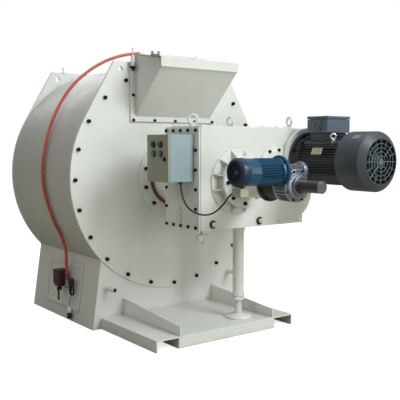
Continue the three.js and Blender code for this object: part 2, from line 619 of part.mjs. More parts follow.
function adjusterMotorFrame() {
  const x = ADJUSTER.flangeX;
  const frame = turnedX([[44, x - 8], [20, x - 8], [20, x], [ADJUSTER.flange, x], [ADJUSTER.flange, x - 12],
    [ADJUSTER.body + 2, x - 14], [ADJUSTER.body + 2, x - 28], [ADJUSTER.body, x - 30],
    [ADJUSTER.body, ADJUSTER.cowlX + GAP], [44, ADJUSTER.cowlX + GAP]]);
  const neck = block(-336, -323, WORM.y - 20, WORM.y + 20, WORM_Z - 85, WORM_Z - 60);
  const terminals = block(-374, -322, WORM.y - 38, WORM.y + 31, WORM_Z - 121, WORM_Z - 79);
  const gland = rodY(9, WORM.y + 30, WORM.y + 43, -350, WORM_Z - 110, 12);
  return join(frame, neck, terminals, gland);
}

function adjusterMotorCowl() {
  const { cowl, cowlX, endX } = ADJUSTER;
  const start = cowlX - GAP;
  const shell = turnedX([[cowl, start], [cowl, endX + 12], [cowl - 14, endX], [52, endX], [52, endX + 3],
    [cowl - 16, endX + 3], [cowl - 3, endX + 13], [cowl - 3, start]]);
  const bars = [-30, 0, 30].map((dy) =>
    block(endX, endX + 3, WORM.y + dy - 2, WORM.y + dy + 2, WORM_Z - 56, WORM_Z + 56));
  return join(shell, ...bars);
}

function adjusterShaft() {
  const shaft = rodX(13, -372, 68, WORM.y, WORM_Z, 12);
  const core = rodX(40, -270, -120, WORM.y, WORM_Z, 16);
  const worm = rodX(15, -34, 34, WORM.y, WORM_Z, 12);
  const fan = rodX(58, -360, -352, WORM.y, WORM_Z, 16);
  return join(shaft, core, worm, fan);
}

// ---------------------------------------------------------------- control box
const BUTTON_PLACES = [
  { name: 'green_button_1', y: -469, z: 1145, material: GREEN },
  { name: 'green_button_2', y: -543, z: 1145, material: GREEN },
  { name: 'grey_button_1', y: -472, z: 1093, material: KNOB_GREY },
  { name: 'grey_button_2', y: -543, z: 1093, material: KNOB_GREY },
];
const LOCK_PLACE = { y: -584, z: 1064 };

function controlBox() {
  const { x0, x1, y0, y1, z0, z1, sheet } = BOX;
  const shell = block(x0, x1, y0, y1, z0, z1);
  const room = block(x0 - 1, x1 - sheet, y0 + sheet, y1 - sheet, z0 + sheet, z1 - sheet);
  return join(cut(shell, room), rodZ(10, z0 - 14, z0 + 1, -350, -600, 12));
}

function controlDoor() {
  const x1 = BOX.x0 - GAP;
  const slab = block(x1 - BOX.door, x1, BOX.y0, BOX.y1, BOX.z0, BOX.z1);
  const holes = BUTTON_PLACES.map(({ y, z }) => rodX(9.5, x1 - 30, x1 + 5, y, z, 8));
  const lockHole = rodX(8.5, x1 - 30, x1 + 5, LOCK_PLACE.y, LOCK_PLACE.z, 8);
  return cut(slab, ...holes, lockHole);
}

function pushButton({ y, z }) {
  const face = BOX.x0 - GAP - BOX.door;
  return join(rodX(14, face - 14, face - 6, y, z, 16), rodX(8, face - 8, face + 22, y, z, 8));
}

function keyLock() {
  const face = BOX.x0 - GAP - BOX.door;
  const { y, z } = LOCK_PLACE;
  const barrel = join(rodX(12, face - 7, face - GAP, y, z, 12), rodX(7, face - 2, face + 20, y, z, 8));
  return join(barrel, block(face - 12, face - 6, y - 3, y + 3, z - 9, z + 9));
}

// ---------------------------------------------------------------- jack, valve and leads
function jackTube() {
  const tube = cut(rodZ(JACK.tube, JACK.tubeZ, CASE.z0 - GAP, JACK.x, JACK.y, 20),
    rodZ(28, JACK.tubeZ - 1, CASE.z0 - 12, JACK.x, JACK.y, 16));
  return join(tube, rodZ(58, CASE.z0 - 10, CASE.z0 - GAP, JACK.x, JACK.y, 20));
}

function jackNut() {
  const z1 = JACK.tubeZ - GAP;
  return cut(rodZ(JACK.nut, z1 - 22, z1, JACK.x, JACK.y, 6), rodZ(24, z1 - 30, z1 + 5, JACK.x, JACK.y, 16));
}

function jackScrew() {
  const z0 = SKID.height + GAP;
  return join(rodZ(JACK.foot, z0, z0 + 14, JACK.x, JACK.y, 24), rodZ(34, z0 + 12, z0 + 24, JACK.x, JACK.y, 16),
    rodZ(JACK.screw, z0 + 20, 520, JACK.x, JACK.y, 16));
}

function waterValve() {
  const y = (VALVE.y0 + VALVE.y1) / 2;
  const coil = block(VALVE.x0, VALVE.x1, VALVE.y0, VALVE.y1, VALVE.z0, VALVE.z1);
  const seat = sideX(214) - COVER.thick + 7 - GAP;
  const inlet = rodX(36, VALVE.x1 - 6, seat, y + 10, 250, 16);
  const outlet = rodY(13, 340, VALVE.y0 + 4, -600, 226, 12);
  const barb = rodZ(8, 226, 248, -600, 352, 12);
  return join(coil, inlet, outlet, barb);
}

function valveLever() {
  const z1 = VALVE.z0 - GAP;
  const hub = rodX(12, -640, -612, 412, z1 - 13, 16);
  return join(hub, block(-636, -628, 404, 420, z1 - 88, z1 - 13));
}

function sensorHank() {
  const { x, y, z0, z1, halfWidth, halfDepth } = HANK;
  const outline = [];
  for (let i = 0; i <= 6; i += 1) outline.push(polar(halfWidth, 30 * i, y, z1 - halfWidth));
  for (let i = 0; i <= 6; i += 1) outline.push(polar(halfWidth, 180 + 30 * i, y, z0 + halfWidth));
  return prismX(outline, x - halfDepth, x + halfDepth);
}

function sensorPlug() {
  const { x, y, z0, z1, radius, collar } = PLUG;
  return join(rodZ(radius, z0, z0 + 40, x, y, 12), rodZ(collar, z0 + 38, z1, x, y, 10));
}

// ---------------------------------------------------------------- assembly
function addCasing(front) {
  addPart(front, 'base_box', baseBox(), CREAM);
  addPart(front, 'side_inspection_cover', inspectionCover(), CREAM);
  addPart(front, 'skid_channel_left', skidChannel(SKID.left), CREAM);
  addPart(front, 'skid_channel_right', skidChannel(SKID.right), CREAM);
  addPart(front, 'service_tray', serviceTray(), CREAM);
  addPart(front, 'drum_jacket', drumJacket(), DRUM_GREY);
  addPart(front, 'drum_liner', drumLiner(), IRON);
  addPart(front, 'front_plate', frontPlate(), CREAM);
  addPart(front, 'rear_plate', endPlate(DRUM.length - PLATE.thick), CREAM);
  addPart(front, 'feed_chute', feedChute(), CREAM);
  addPart(front, 'chute_lid', chuteLid(), CREAM, [0, LID.hingeY, LID.hingeZ]);
}

function addGearbox(front) {
  addPart(front, 'hub_housing', hubHousing(), CREAM);
  addPart(front, 'gearbox_case', gearboxCase(), CREAM);
  addPart(front, 'gearbox_side_cover', gearboxSideCover(), CREAM);
  addPart(front, 'main_bearing_cap', mainBearingCap(), CREAM);
  addPart(front, 'layshaft_cap', layshaftCap(), CREAM);
  addPart(front, 'motor_adapter_ring', motorAdapterRing(), CREAM);
  addPart(front, 'rear_bearing_housing', rearBearingHousing(), CREAM);
}

function addRotor(front) {
  const axis = [0, 0, AXIS_Z];
  addPart(front, 'rotor_shaft', rotorShaft(), STEEL, axis);
  for (let i = 0; i < BARS.count; i += 1) {
    addPart(front, `grinding_bar_${i + 1}`, grindingBar(barAngle(i)), IRON, axis);
  }
  addPart(front, 'thrust_spider', thrustSpider(), IRON, axis);
  addPart(front, 'main_gear', gearSolid(STAGE_3, MAIN, SHAFT.gearSeat + 1), STEEL, axis);
  addPart(front, 'layshaft', layshaft(), STEEL, [LAY.x, 0, LAY.z]);
  addPart(front, 'layshaft_gear', gearSolid(STAGE_2, LAY, 29 + GAP), STEEL, [LAY.x, 0, LAY.z]);
  addPart(front, 'second_shaft', secondShaft(), STEEL, [SECOND.x, 0, SECOND.z]);
  addPart(front, 'second_gear', gearSolid(STAGE_1, SECOND, 25 + GAP), STEEL, [SECOND.x, 0, SECOND.z]);
}

function addMainMotor(front) {
  const axis = [DRIVE.x, MOTOR.face, DRIVE.z];
  addPart(front, 'main_motor_frame', mainMotorFrame(), MOTOR_GREY, axis);
  addPart(front, 'main_motor_cowl', mainMotorCowl(), MOTOR_GREY, axis);
  addPart(front, 'main_motor_terminal_box', mainTerminalBox(), MOTOR_GREY, axis);
  addPart(front, 'main_motor_shaft', mainMotorShaft(), STEEL, axis);
  addPart(front, 'main_motor_fan', mainMotorFan(), BLACK, axis);
}

function addAdjuster(front) {
  const mainAxis = [0, WORM.y, AXIS_Z];
  const wormAxis = [0, WORM.y, WORM_Z];
  addPart(front, 'spindle_housing', spindleHousing(), BLACK, mainAxis);
  addPart(front, 'worm_housing', wormHousing(), SILVER, mainAxis);
  addPart(front, 'worm_wheel', wormWheel(), STEEL, mainAxis);
  addPart(front, 'pull_rod', pullRod(), STEEL, mainAxis);
  addPart(front, 'spindle_tube', spindleTube(), MOTOR_GREY, mainAxis);
  addPart(front, 'adjuster_motor_frame', adjusterMotorFrame(), BLUE, wormAxis);
  addPart(front, 'adjuster_motor_cowl', adjusterMotorCowl(), BLUE, wormAxis);
  addPart(front, 'adjuster_shaft', adjusterShaft(), STEEL, wormAxis);
}

function addControls(front) {
  addPart(front, 'control_box', controlBox(), BOX_GREY);
  addPart(front, 'control_door', controlDoor(), DOOR_GREY, [BOX.x0, BOX.y1, BOX.z0]);
  for (const place of BUTTON_PLACES) {
    addPart(front, place.name, pushButton(place), place.material, [BOX.x0, place.y, place.z]);
  }
  addPart(front, 'key_lock', keyLock(), BLACK, [BOX.x0, LOCK_PLACE.y, LOCK_PLACE.z]);
  addPart(front, 'control_cable', tubeAlong(CABLE_ROUTE, CABLE.diameter, 8, 24), BLACK);
}

function addServices(front) {
  const jackFoot = [JACK.x, JACK.y, SKID.height];
  addPart(front, 'jack_tube', jackTube(), CREAM, jackFoot);
  addPart(front, 'jack_nut', jackNut(), CREAM, jackFoot);
  addPart(front, 'jack_screw', jackScrew(), CREAM, jackFoot);
  addPart(front, 'water_valve', waterValve(), BLACK);
  addPart(front, 'valve_lever', valveLever(), BLACK, [-626, 412, VALVE.z0 - GAP - 13]);
  addPart(front, 'red_hose', tubeAlong(HOSE_ROUTE, HOSE.diameter, 8, 44), HOSE_RED);
  addPart(front, 'sensor_lead_top', tubeAlong(LEAD_TOP_ROUTE, LEAD.diameter, 8, 9), BLACK);
  addPart(front, 'sensor_hank', sensorHank(), BLACK);
  addPart(front, 'sensor_lead_tail', tubeAlong(LEAD_TAIL_ROUTE, LEAD.diameter, 8, 9), BLACK);
  addPart(front, 'sensor_plug', sensorPlug(), BLACK);
}

const machine = new THREE.Group();
const front = new THREE.Group();
front.position.y = -DRUM.length / 2;
machine.add(front);
addCasing(front);
addGearbox(front);
addRotor(front);
addMainMotor(front);
addAdjuster(front);
addControls(front);
addServices(front);

export default machine;
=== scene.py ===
import json
import math

import bmesh
import bpy
from mathutils import Matrix, Vector

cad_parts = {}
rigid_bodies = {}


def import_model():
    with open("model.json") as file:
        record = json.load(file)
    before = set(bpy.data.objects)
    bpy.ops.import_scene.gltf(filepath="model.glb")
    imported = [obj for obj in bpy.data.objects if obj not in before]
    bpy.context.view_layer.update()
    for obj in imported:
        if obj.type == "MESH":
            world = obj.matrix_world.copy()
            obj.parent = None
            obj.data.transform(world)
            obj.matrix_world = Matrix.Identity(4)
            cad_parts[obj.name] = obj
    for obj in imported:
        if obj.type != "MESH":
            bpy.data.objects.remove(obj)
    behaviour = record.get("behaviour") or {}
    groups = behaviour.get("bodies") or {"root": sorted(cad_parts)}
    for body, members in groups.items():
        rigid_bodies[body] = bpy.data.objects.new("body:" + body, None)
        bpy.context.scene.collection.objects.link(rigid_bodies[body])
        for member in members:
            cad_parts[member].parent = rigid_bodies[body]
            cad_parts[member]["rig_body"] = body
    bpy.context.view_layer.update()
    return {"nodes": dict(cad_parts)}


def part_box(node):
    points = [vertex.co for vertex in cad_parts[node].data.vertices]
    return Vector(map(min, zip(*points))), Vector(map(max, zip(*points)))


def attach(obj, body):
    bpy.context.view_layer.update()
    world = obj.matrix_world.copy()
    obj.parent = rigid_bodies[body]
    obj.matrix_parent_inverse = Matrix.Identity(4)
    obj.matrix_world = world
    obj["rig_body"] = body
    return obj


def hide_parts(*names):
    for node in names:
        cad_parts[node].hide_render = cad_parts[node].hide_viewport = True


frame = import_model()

# Lengths below are millimetres in the drive-side frame: y = 0 is the outer face of the drum's
# front plate, -y points towards the motors, and z = 0 is the floor. at() turns them into metres.
MM = 0.001
FRONT_Y = round(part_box("front_plate")[0].y / MM)
TO_DRIVE, TO_REAR = Vector((0, -1, 0)), Vector((0, 1, 0))
TO_LEFT, TO_RIGHT = Vector((-1, 0, 0)), Vector((1, 0, 0))
UP, DOWN = Vector((0, 0, 1)), Vector((0, 0, -1))


def at(x, y, z):
    return Vector((x, y + FRONT_Y, z)) * MM


def corners(node):
    """A CAD node's lowest and highest corners, to the micrometre."""
    return [[round(v, 3) for v in (p.x / MM, p.y / MM - FRONT_Y, p.z / MM)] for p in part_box(node)]


def middle(node):
    return [(low + high) / 2 for low, high in zip(*corners(node))]


# The axes and faces that more than one piece is placed from, all read from the CAD nodes.
AXIS_Z = middle("hub_housing")[2]
DRUM_AXIS = (0, 0, AXIS_Z)
LAY = middle("layshaft_gear")[::2]
DRIVE = middle("main_motor_cowl")[::2]
DRIVE_AXIS = (DRIVE[0], 0, DRIVE[1])
MOTOR_REAR, MOTOR_FACE = (corner[1] for corner in corners("main_motor_frame"))
WORM_Y, WORM_Z = middle("adjuster_motor_cowl")[1:]
WORM_AXIS = (0, WORM_Y, WORM_Z)
CASE_SIDE = corners("gearbox_side_cover")[0][0]
CASE_FRONT = corners("gearbox_case")[0][1]
CASE_TOP = corners("gearbox_case")[1][2]
# The drum's sheet, and the radius and height of an M16 cap screw's head.
DRUM_WALL = 12
M16_HEAD = (12, 14)


# ------------------------------------------------------------------ camera
def add_camera():
    """The photo's viewpoint, from a fit to the object's sizes: angles in radians, lens in mm."""
    yaw, pitch, roll = 0.671143, -0.088858, 0.003426
    eye = at(-2507.9, -3777.6, 1150.5)
    data = bpy.data.cameras.new("photo_view")
    data.sensor_width = 36.0
    data.lens = 61.8993
    data.shift_x, data.shift_y = -0.08, 0.0125
    ahead = Vector((math.sin(yaw) * math.cos(pitch), math.cos(yaw) * math.cos(pitch), math.sin(pitch)))
    level_right = ahead.cross(UP).normalized()
    level_up = level_right.cross(ahead)
    right = level_right * math.cos(roll) + level_up * math.sin(roll)
    up = level_up * math.cos(roll) - level_right * math.sin(roll)
    camera = bpy.data.objects.new("photo_view", data)
    turn = Matrix((right, up, -ahead)).transposed().to_4x4()
    camera.matrix_world = Matrix.Translation(eye) @ turn
    bpy.context.scene.collection.objects.link(camera)
    bpy.context.scene.camera = camera


add_camera()


# ------------------------------------------------------------------ materials
class Graph:
    """A material's node tree, with short calls for the nodes used here."""

    def __init__(self, name):
        self.material = bpy.data.materials.new(name)
        self.material.use_nodes = True
        self.nodes = self.material.node_tree.nodes
        self.links = self.material.node_tree.links
        self.shader = self.nodes["Principled BSDF"]
        self.place = self.nodes.new("ShaderNodeTexCoord").outputs["Object"]

    def link(self, source, target):
        self.links.new(source, target)

    def noise(self, scale, detail=4.0, rough=0.55, stretch=(1, 1, 1)):
        mapping = self.nodes.new("ShaderNodeMapping")
        mapping.inputs["Scale"].default_value = stretch
        self.link(self.place, mapping.inputs["Vector"])
        noise = self.nodes.new("ShaderNodeTexNoise")
        noise.inputs["Scale"].default_value = scale
        noise.inputs["Detail"].default_value = detail
        noise.inputs["Roughness"].default_value = rough
        self.link(mapping.outputs["Vector"], noise.inputs["Vector"])
        return noise.outputs["Fac"]

    def ramp(self, source, low, high, out_low=0.0, out_high=1.0):
        node = self.nodes.new("ShaderNodeMapRange")
        limits = {"From Min": low, "From Max": high, "To Min": out_low, "To Max": out_high}
        for key, value in limits.items():
            node.inputs[key].default_value = value
        self.link(source, node.inputs["Value"])
        return node.outputs["Result"]

    def times(self, a, b):
        node = self.nodes.new("ShaderNodeMath")
        node.operation = "MULTIPLY"
        self.link(a, node.inputs[0])
        if isinstance(b, float):
            node.inputs[1].default_value = b
        else:
            self.link(b, node.inputs[1])
        return node.outputs[0]

    def mix(self, factor, a, b):
        node = self.nodes.new("ShaderNodeMix")
        node.data_type = "RGBA"
        self.link(factor, node.inputs["Factor"])
        for value, socket in ((a, node.inputs[6]), (b, node.inputs[7])):
            if isinstance(value, (tuple, list)):
                socket.default_value = (*value, 1.0)
            else:
                self.link(value, socket)
        return node.outputs[2]

    # Ambient-occlusion mask, high in corners and creases: colour mixed in by it is painted shade.
    def occlusion_shade(self, reach):
        node = self.nodes.new("ShaderNodeAmbientOcclusion")
        node.samples = 4
        node.inputs["Distance"].default_value = reach
        return self.ramp(node.outputs["AO"], 0.35, 0.95, 1.0, 0.0)

    def bump(self, height, strength, distance, under=None):
        node = self.nodes.new("ShaderNodeBump")
        node.inputs["Strength"].default_value = strength
        node.inputs["Distance"].default_value = distance
        self.link(height, node.inputs["Height"])
        if under is not None:
            self.link(under, node.inputs["Normal"])
        return node.outputs["Normal"]


def srgb(r, g, b):
    def linear(v):
        v = v / 255
        return v / 12.92 if v <= 0.04045 else ((v + 0.055) / 1.055) ** 2.4
    return (linear(r), linear(g), linear(b))


def shade(colour, factor):
    return tuple(min(1.0, c * factor) for c in colour)


def enamel(name, colour, rough=0.38, dirt_and_shade=srgb(120, 110, 82), dirt_and_shade_amount=0.45, peel=0.25):
    """Brushed or sprayed enamel: slight colour drift, runs, patchy dirt and painted shade in corners,
    orange peel.
    """
    g = Graph(name)
    drift = g.ramp(g.noise(2.2, 5), 0.3, 0.7)
    runs = g.ramp(g.noise(5.0, 4, stretch=(1, 1, 0.16)), 0.45, 0.75)
    base = g.mix(drift, shade(colour, 0.95), shade(colour, 1.03))
    base = g.mix(g.times(runs, 0.18), base, shade(colour, 0.86))
    patchy = g.ramp(g.noise(26.0, 5), 0.35, 0.7)
    # Dirt colour mixed in through an ambient-occlusion mask and patchy noise: partly dirt, partly painted
    # shade in corners and creases.
    base = g.mix(g.times(g.times(g.occlusion_shade(0.035), patchy), dirt_and_shade_amount), base, dirt_and_shade)
    chips = g.ramp(g.noise(70.0, 3, 0.7), 0.735, 0.765)
    base = g.mix(g.times(chips, 0.35), base, shade(dirt_and_shade, 0.8))
    g.link(base, g.shader.inputs["Base Color"])
    g.link(g.ramp(g.noise(9.0, 4), 0.3, 0.7, rough - 0.06, rough + 0.1), g.shader.inputs["Roughness"])
    fine = g.bump(g.noise(330.0, 2), peel, 0.0006)
    g.link(g.bump(g.noise(7.0, 3), 0.25, 0.003, under=fine), g.shader.inputs["Normal"])
    g.shader.inputs["Coat Weight"].default_value = 0.12
    g.shader.inputs["Coat Roughness"].default_value = 0.2
    return g.material


def cast(name, colour, rough=0.45, metallic=1.0, grain=160.0, depth=0.7, corner_shade=0.45):
    """Cast or sand-blasted metal: pebbled skin, darker pits, painted shade in corners."""
    g = Graph(name)
    pits = g.ramp(g.noise(grain, 5, 0.65), 0.35, 0.65)
    base = g.mix(pits, shade(colour, 0.72), shade(colour, 1.08))
    # Darkens corners and creases found by ambient occlusion: painted shade.
    base = g.mix(g.times(g.occlusion_shade(0.02), 0.8), base, shade(colour, corner_shade))
    g.link(base, g.shader.inputs["Base Color"])
    g.link(g.ramp(pits, 0.0, 1.0, rough + 0.12, rough - 0.08), g.shader.inputs["Roughness"])
    g.link(g.bump(g.noise(grain * 1.3, 4), depth, 0.0008), g.shader.inputs["Normal"])
    g.shader.inputs["Metallic"].default_value = metallic
    return g.material


def turned(name, colour, rough=0.28, stretch=(1, 60, 1)):
    """Machined steel: fine tool lines, faint stains."""
    g = Graph(name)
    lines = g.noise(14.0, 3, stretch=stretch)
    stains = g.ramp(g.noise(11.0, 5), 0.4, 0.7)
    base = g.mix(stains, colour, shade(colour, 0.78))
    g.link(base, g.shader.inputs["Base Color"])
    g.link(g.ramp(lines, 0.3, 0.7, rough - 0.06, rough + 0.1), g.shader.inputs["Roughness"])
    g.link(g.bump(lines, 0.18, 0.0003), g.shader.inputs["Normal"])
    g.shader.inputs["Metallic"].default_value = 1.0
    return g.material


def moulded(name, colour, rough=0.42, grain=500.0, depth=0.3, coat=0.0):
    """Moulded plastic or rubber: fine grain, painted shade in corners."""
    g = Graph(name)
    cloud = g.ramp(g.noise(30.0, 4), 0.35, 0.7)
    base = g.mix(cloud, shade(colour, 0.85), shade(colour, 1.15))
    # Darkens corners found by ambient occlusion: painted shade.
    base = g.mix(g.times(g.occlusion_shade(0.01), 0.35), base, shade(colour, 0.5))
    g.link(base, g.shader.inputs["Base Color"])
    g.link(g.ramp(g.noise(60.0, 3), 0.3, 0.7, rough - 0.06, rough + 0.1), g.shader.inputs["Roughness"])
    g.link(g.bump(g.noise(grain, 3), depth, 0.0003), g.shader.inputs["Normal"])
    g.shader.inputs["Coat Weight"].default_value = coat
    return g.material


CREAM = enamel("cream_enamel", srgb(229, 229, 223))
# The drum's paint is the cream made darker: painted shade on the drum.
CREAM_SHADED = enamel("drum_cream_painted_shade", srgb(206, 206, 200), rough=0.42)
BOX_PAINT = enamel("box_enamel", srgb(158, 177, 180), rough=0.5, peel=0.5)
DOOR_PAINT = enamel("door_enamel", srgb(158, 160, 143), rough=0.5, peel=0.5)
MOTOR_PAINT = enamel("motor_enamel", srgb(48, 50, 57), rough=0.42, dirt_and_shade=srgb(24, 24, 26), peel=0.4)
COWL_PAINT = enamel("cowl_enamel", srgb(68, 73, 80), rough=0.4, dirt_and_shade=srgb(36, 36, 36))
BLUE_PAINT = enamel("blue_enamel", srgb(16, 76, 108), rough=0.3, dirt_and_shade=srgb(8, 24, 36))
BROWN_PAINT = enamel("brown_enamel", srgb(52, 44, 42), rough=0.5, dirt_and_shade=srgb(24, 20, 20))
PRIMER = enamel("red_primer", srgb(112, 62, 44), rough=0.65, dirt_and_shade=srgb(56, 34, 24))
ALLOY = cast("cast_alloy", srgb(166, 174, 188), rough=0.32, grain=90.0, corner_shade=0.3)
GREY_IRON = cast("grey_iron", srgb(120, 122, 124), rough=0.55, grain=120.0)
STEEL = turned("turned_steel", srgb(190, 192, 194))
ZINC = cast("zinc_plate", srgb(200, 202, 206), rough=0.22, grain=60.0, depth=0.15, corner_shade=0.6)
BLACKED = cast("blacked_steel", srgb(26, 26, 28), rough=0.4, metallic=0.6, grain=300.0, depth=0.3)
BLACK = moulded("black_plastic", srgb(26, 26, 28))
MAROON = moulded("maroon_plastic", srgb(74, 34, 34))
GREEN = moulded("green_plastic", srgb(18, 96, 62), rough=0.25, depth=0.05, coat=0.4)
KNOB = moulded("grey_plastic", srgb(112, 120, 112), rough=0.35, depth=0.1)
RUBBER = moulded("lead_rubber", srgb(15, 15, 17), rough=0.5)
HOSE = moulded("hose_rubber", srgb(196, 84, 62), rough=0.4, depth=0.2, coat=0.1)
PLATE = cast("name_plate_metal", srgb(196, 190, 168), rough=0.35, grain=80.0, depth=0.1, corner_shade=0.7)
# A rating plate tinted the pale blue of a highlight on the blue paint: partly plate, partly painted
# highlight.
PLATE_HIGHLIGHT_BLUE = cast("plate_metal_painted_highlight", srgb(150, 186, 204), rough=0.3, grain=80.0, depth=0.1, corner_shade=0.7)
CHROME = cast("chrome", srgb(214, 218, 224), rough=0.12, grain=40.0, depth=0.03, corner_shade=0.6)
# The cream paint darkened and yellowed for the box under the blue motor: painted shade.
CREAM_IN_SHADE = enamel("terminal_cream_painted_shade", srgb(176, 172, 152), rough=0.5)
TERMINAL_PAINT = enamel("terminal_enamel", srgb(88, 100, 112), rough=0.45, dirt_and_shade=srgb(44, 46, 50), peel=0.4)
GRILLE_PAINT = enamel("grille_enamel", srgb(98, 112, 118), rough=0.4, dirt_and_shade=srgb(60, 62, 60))
TUBE_PAINT = enamel("tube_enamel", srgb(66, 62, 68), rough=0.38, dirt_and_shade=srgb(34, 30, 30))
# The blue paint darkened for the adjuster's fan cowl and grille: painted shade.
BLUE_SHADED = enamel("blue_enamel_painted_shade", srgb(17, 46, 74), rough=0.36, dirt_and_shade=srgb(10, 16, 26))
GAUGE_GLASS = moulded("gauge_glass", srgb(226, 224, 212), rough=0.2, depth=0.05, coat=0.5)
FAN_GREY = moulded("fan_plastic", srgb(72, 82, 86), rough=0.5)
PALE = moulded("pale_plastic", srgb(250, 250, 252), rough=0.35, depth=0.1)


# ------------------------------------------------------------------ cords
def smooth_route(route, per_span):
    """Points on the centripetal spline through a route, the curve that the CAD tubes follow."""
    points = [at(*p) for p in route]
    ends = [points[0] * 2 - points[1], *points, points[-1] * 2 - points[-2]]
    found = [points[0]]
    for i in range(len(points) - 1):
        p0, p1, p2, p3 = ends[i:i + 4]
        d0, d1, d2 = ((b - a).length ** 0.5 for a, b in ((p0, p1), (p1, p2), (p2, p3)))
        start = ((p1 - p0) / d0 - (p2 - p0) / (d0 + d1) + (p2 - p1) / d1) * d1
        end = ((p2 - p1) / d1 - (p3 - p1) / (d1 + d2) + (p3 - p2) / d2) * d1
        for k in range(1, per_span + 1):
            t = k / per_span
            cubic = (p1 - p2) * 2 + start + end
            square = (p2 - p1) * 3 - start * 2 - end
            found.append(p1 + start * t + square * t ** 2 + cubic * t ** 3)
    return found


def line_piece(name, points, radius, material, nodes):
    data = bpy.data.curves.new(name, "CURVE")
    data.dimensions = "3D"
    data.bevel_depth = radius * MM
    data.bevel_resolution = 4
    data.use_fill_caps = True
    spline = data.splines.new("POLY")
    spline.points.add(len(points) - 1)
    for target, p in zip(spline.points, points):
        target.co = (*p, 1)
    spline.use_smooth = True
    data.materials.append(material)
    line = bpy.data.objects.new(name, data)
    bpy.context.scene.collection.objects.link(line)
    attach(line, "frame")
    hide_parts(*nodes)
    return line


HOSE_ROUTE = [
    (-600, 352, 248.5), (-600, 352, 270), (-603, 345, 320), (-607, 339, 390), (-612, 336, 470),
    (-645, 330, 560), (-688, 326, 647), (-720, 330, 739), (-739, 345, 830), (-747, 358, 932),
    (-741, 363, 1036), (-722, 366, 1132), (-695, 369, 1227), (-654, 372, 1325), (-602, 374, 1420),
    (-537, 376, 1508), (-457, 377, 1584), (-366, 378, 1650), (-267, 377, 1703), (-159, 375, 1741),
    (-52, 372, 1762), (20, 369, 1765), (65, 367, 1763), (98, 366, 1756), (126, 366, 1738),
    (144, 366, 1710), (150, 366, 1686), (150, 366, 1671),
]
CABLE_ROUTE = [
    (-350, -600, 922.5), (-350, -603, 897), (-350, -618, 855), (-350, -652, 812), (-350, -700, 786),
    (-350, -760, 773), (-350, -820, 770), (-350, -880, 780), (-350, -940, 806), (-350, -995, 845),
    (-350, -1032, 880), (-350, -1060, 897), (-350, -1076.5, 897),
]
LEAD_TOP_ROUTE = [
    (-632, 384.5, 298), (-632, 358, 299), (-629, 330, 306), (-620, 304, 301), (-610.5, 291, 289),
    (-610.1, 290.5, 279.5),
]
LEAD_TAIL_ROUTE = [
    (-594.5, 301.2, 182), (-598, 302.8, 160), (-604, 303.4, 138), (-609, 303.2, 119), (-610, 303, 108),
    (-610, 303, 98.3),
]


def hank_route(turns=3, steps=9):
    """The hank's own turns, narrow where they're bound and wide below, each beside the last.

    A turn is four parts: down the near side, round the wide fold, up the far side, round the tight one.
    """
    first_x, last_x, near_side, high, low = -610.1, -593.9, 290.5, 262.0, 200.0
    tight, wide = 15.6, 24.0
    y = near_side - tight
    route = []
    count = turns * 4 * steps + steps
    for i in range(count + 1):
        x = first_x + (last_x - first_x) * i / count
        part, t = divmod(i / steps, 1.0)
        fold = math.pi * t
        side = int(part) % 4
        if side == 0:
            route.append((x, y + tight + (wide - tight) * t, high + (low - high) * t))
        elif side == 1:
            route.append((x, y + wide * math.cos(fold), low - wide * math.sin(fold)))
        elif side == 2:
            route.append((x, y - wide + (wide - tight) * t, low + (high - low) * t))
        else:
            route.append((x, y - tight * math.cos(fold), high + tight * math.sin(fold)))
    return route


def add_cords():
    hose_line = smooth_route(HOSE_ROUTE, 6)
    hose = line_piece("water_hose", hose_line, 10, HOSE, ["red_hose"])
    cable_line = smooth_route(CABLE_ROUTE, 6)
    cable = line_piece("adjuster_cable", cable_line, 4.5, RUBBER, ["control_cable"])
    lead_line = smooth_route(LEAD_TOP_ROUTE + hank_route() + LEAD_TAIL_ROUTE, 2)
    lead = line_piece("spare_lead", lead_line, 2.5, RUBBER,
                      ["sensor_lead_top", "sensor_hank", "sensor_lead_tail"])


add_cords()


# ------------------------------------------------------------------ mesh tools
def basis(axis):
    """Two directions across an axis, and the axis."""
    w = Vector(axis).normalized()
    u = w.orthogonal().normalized()
    if abs(w.y) > 0.99:
        u = Vector((1, 0, 0))
    if abs(w.x) > 0.99:
        u = Vector((0, 1, 0))
    return u, w.cross(u), w


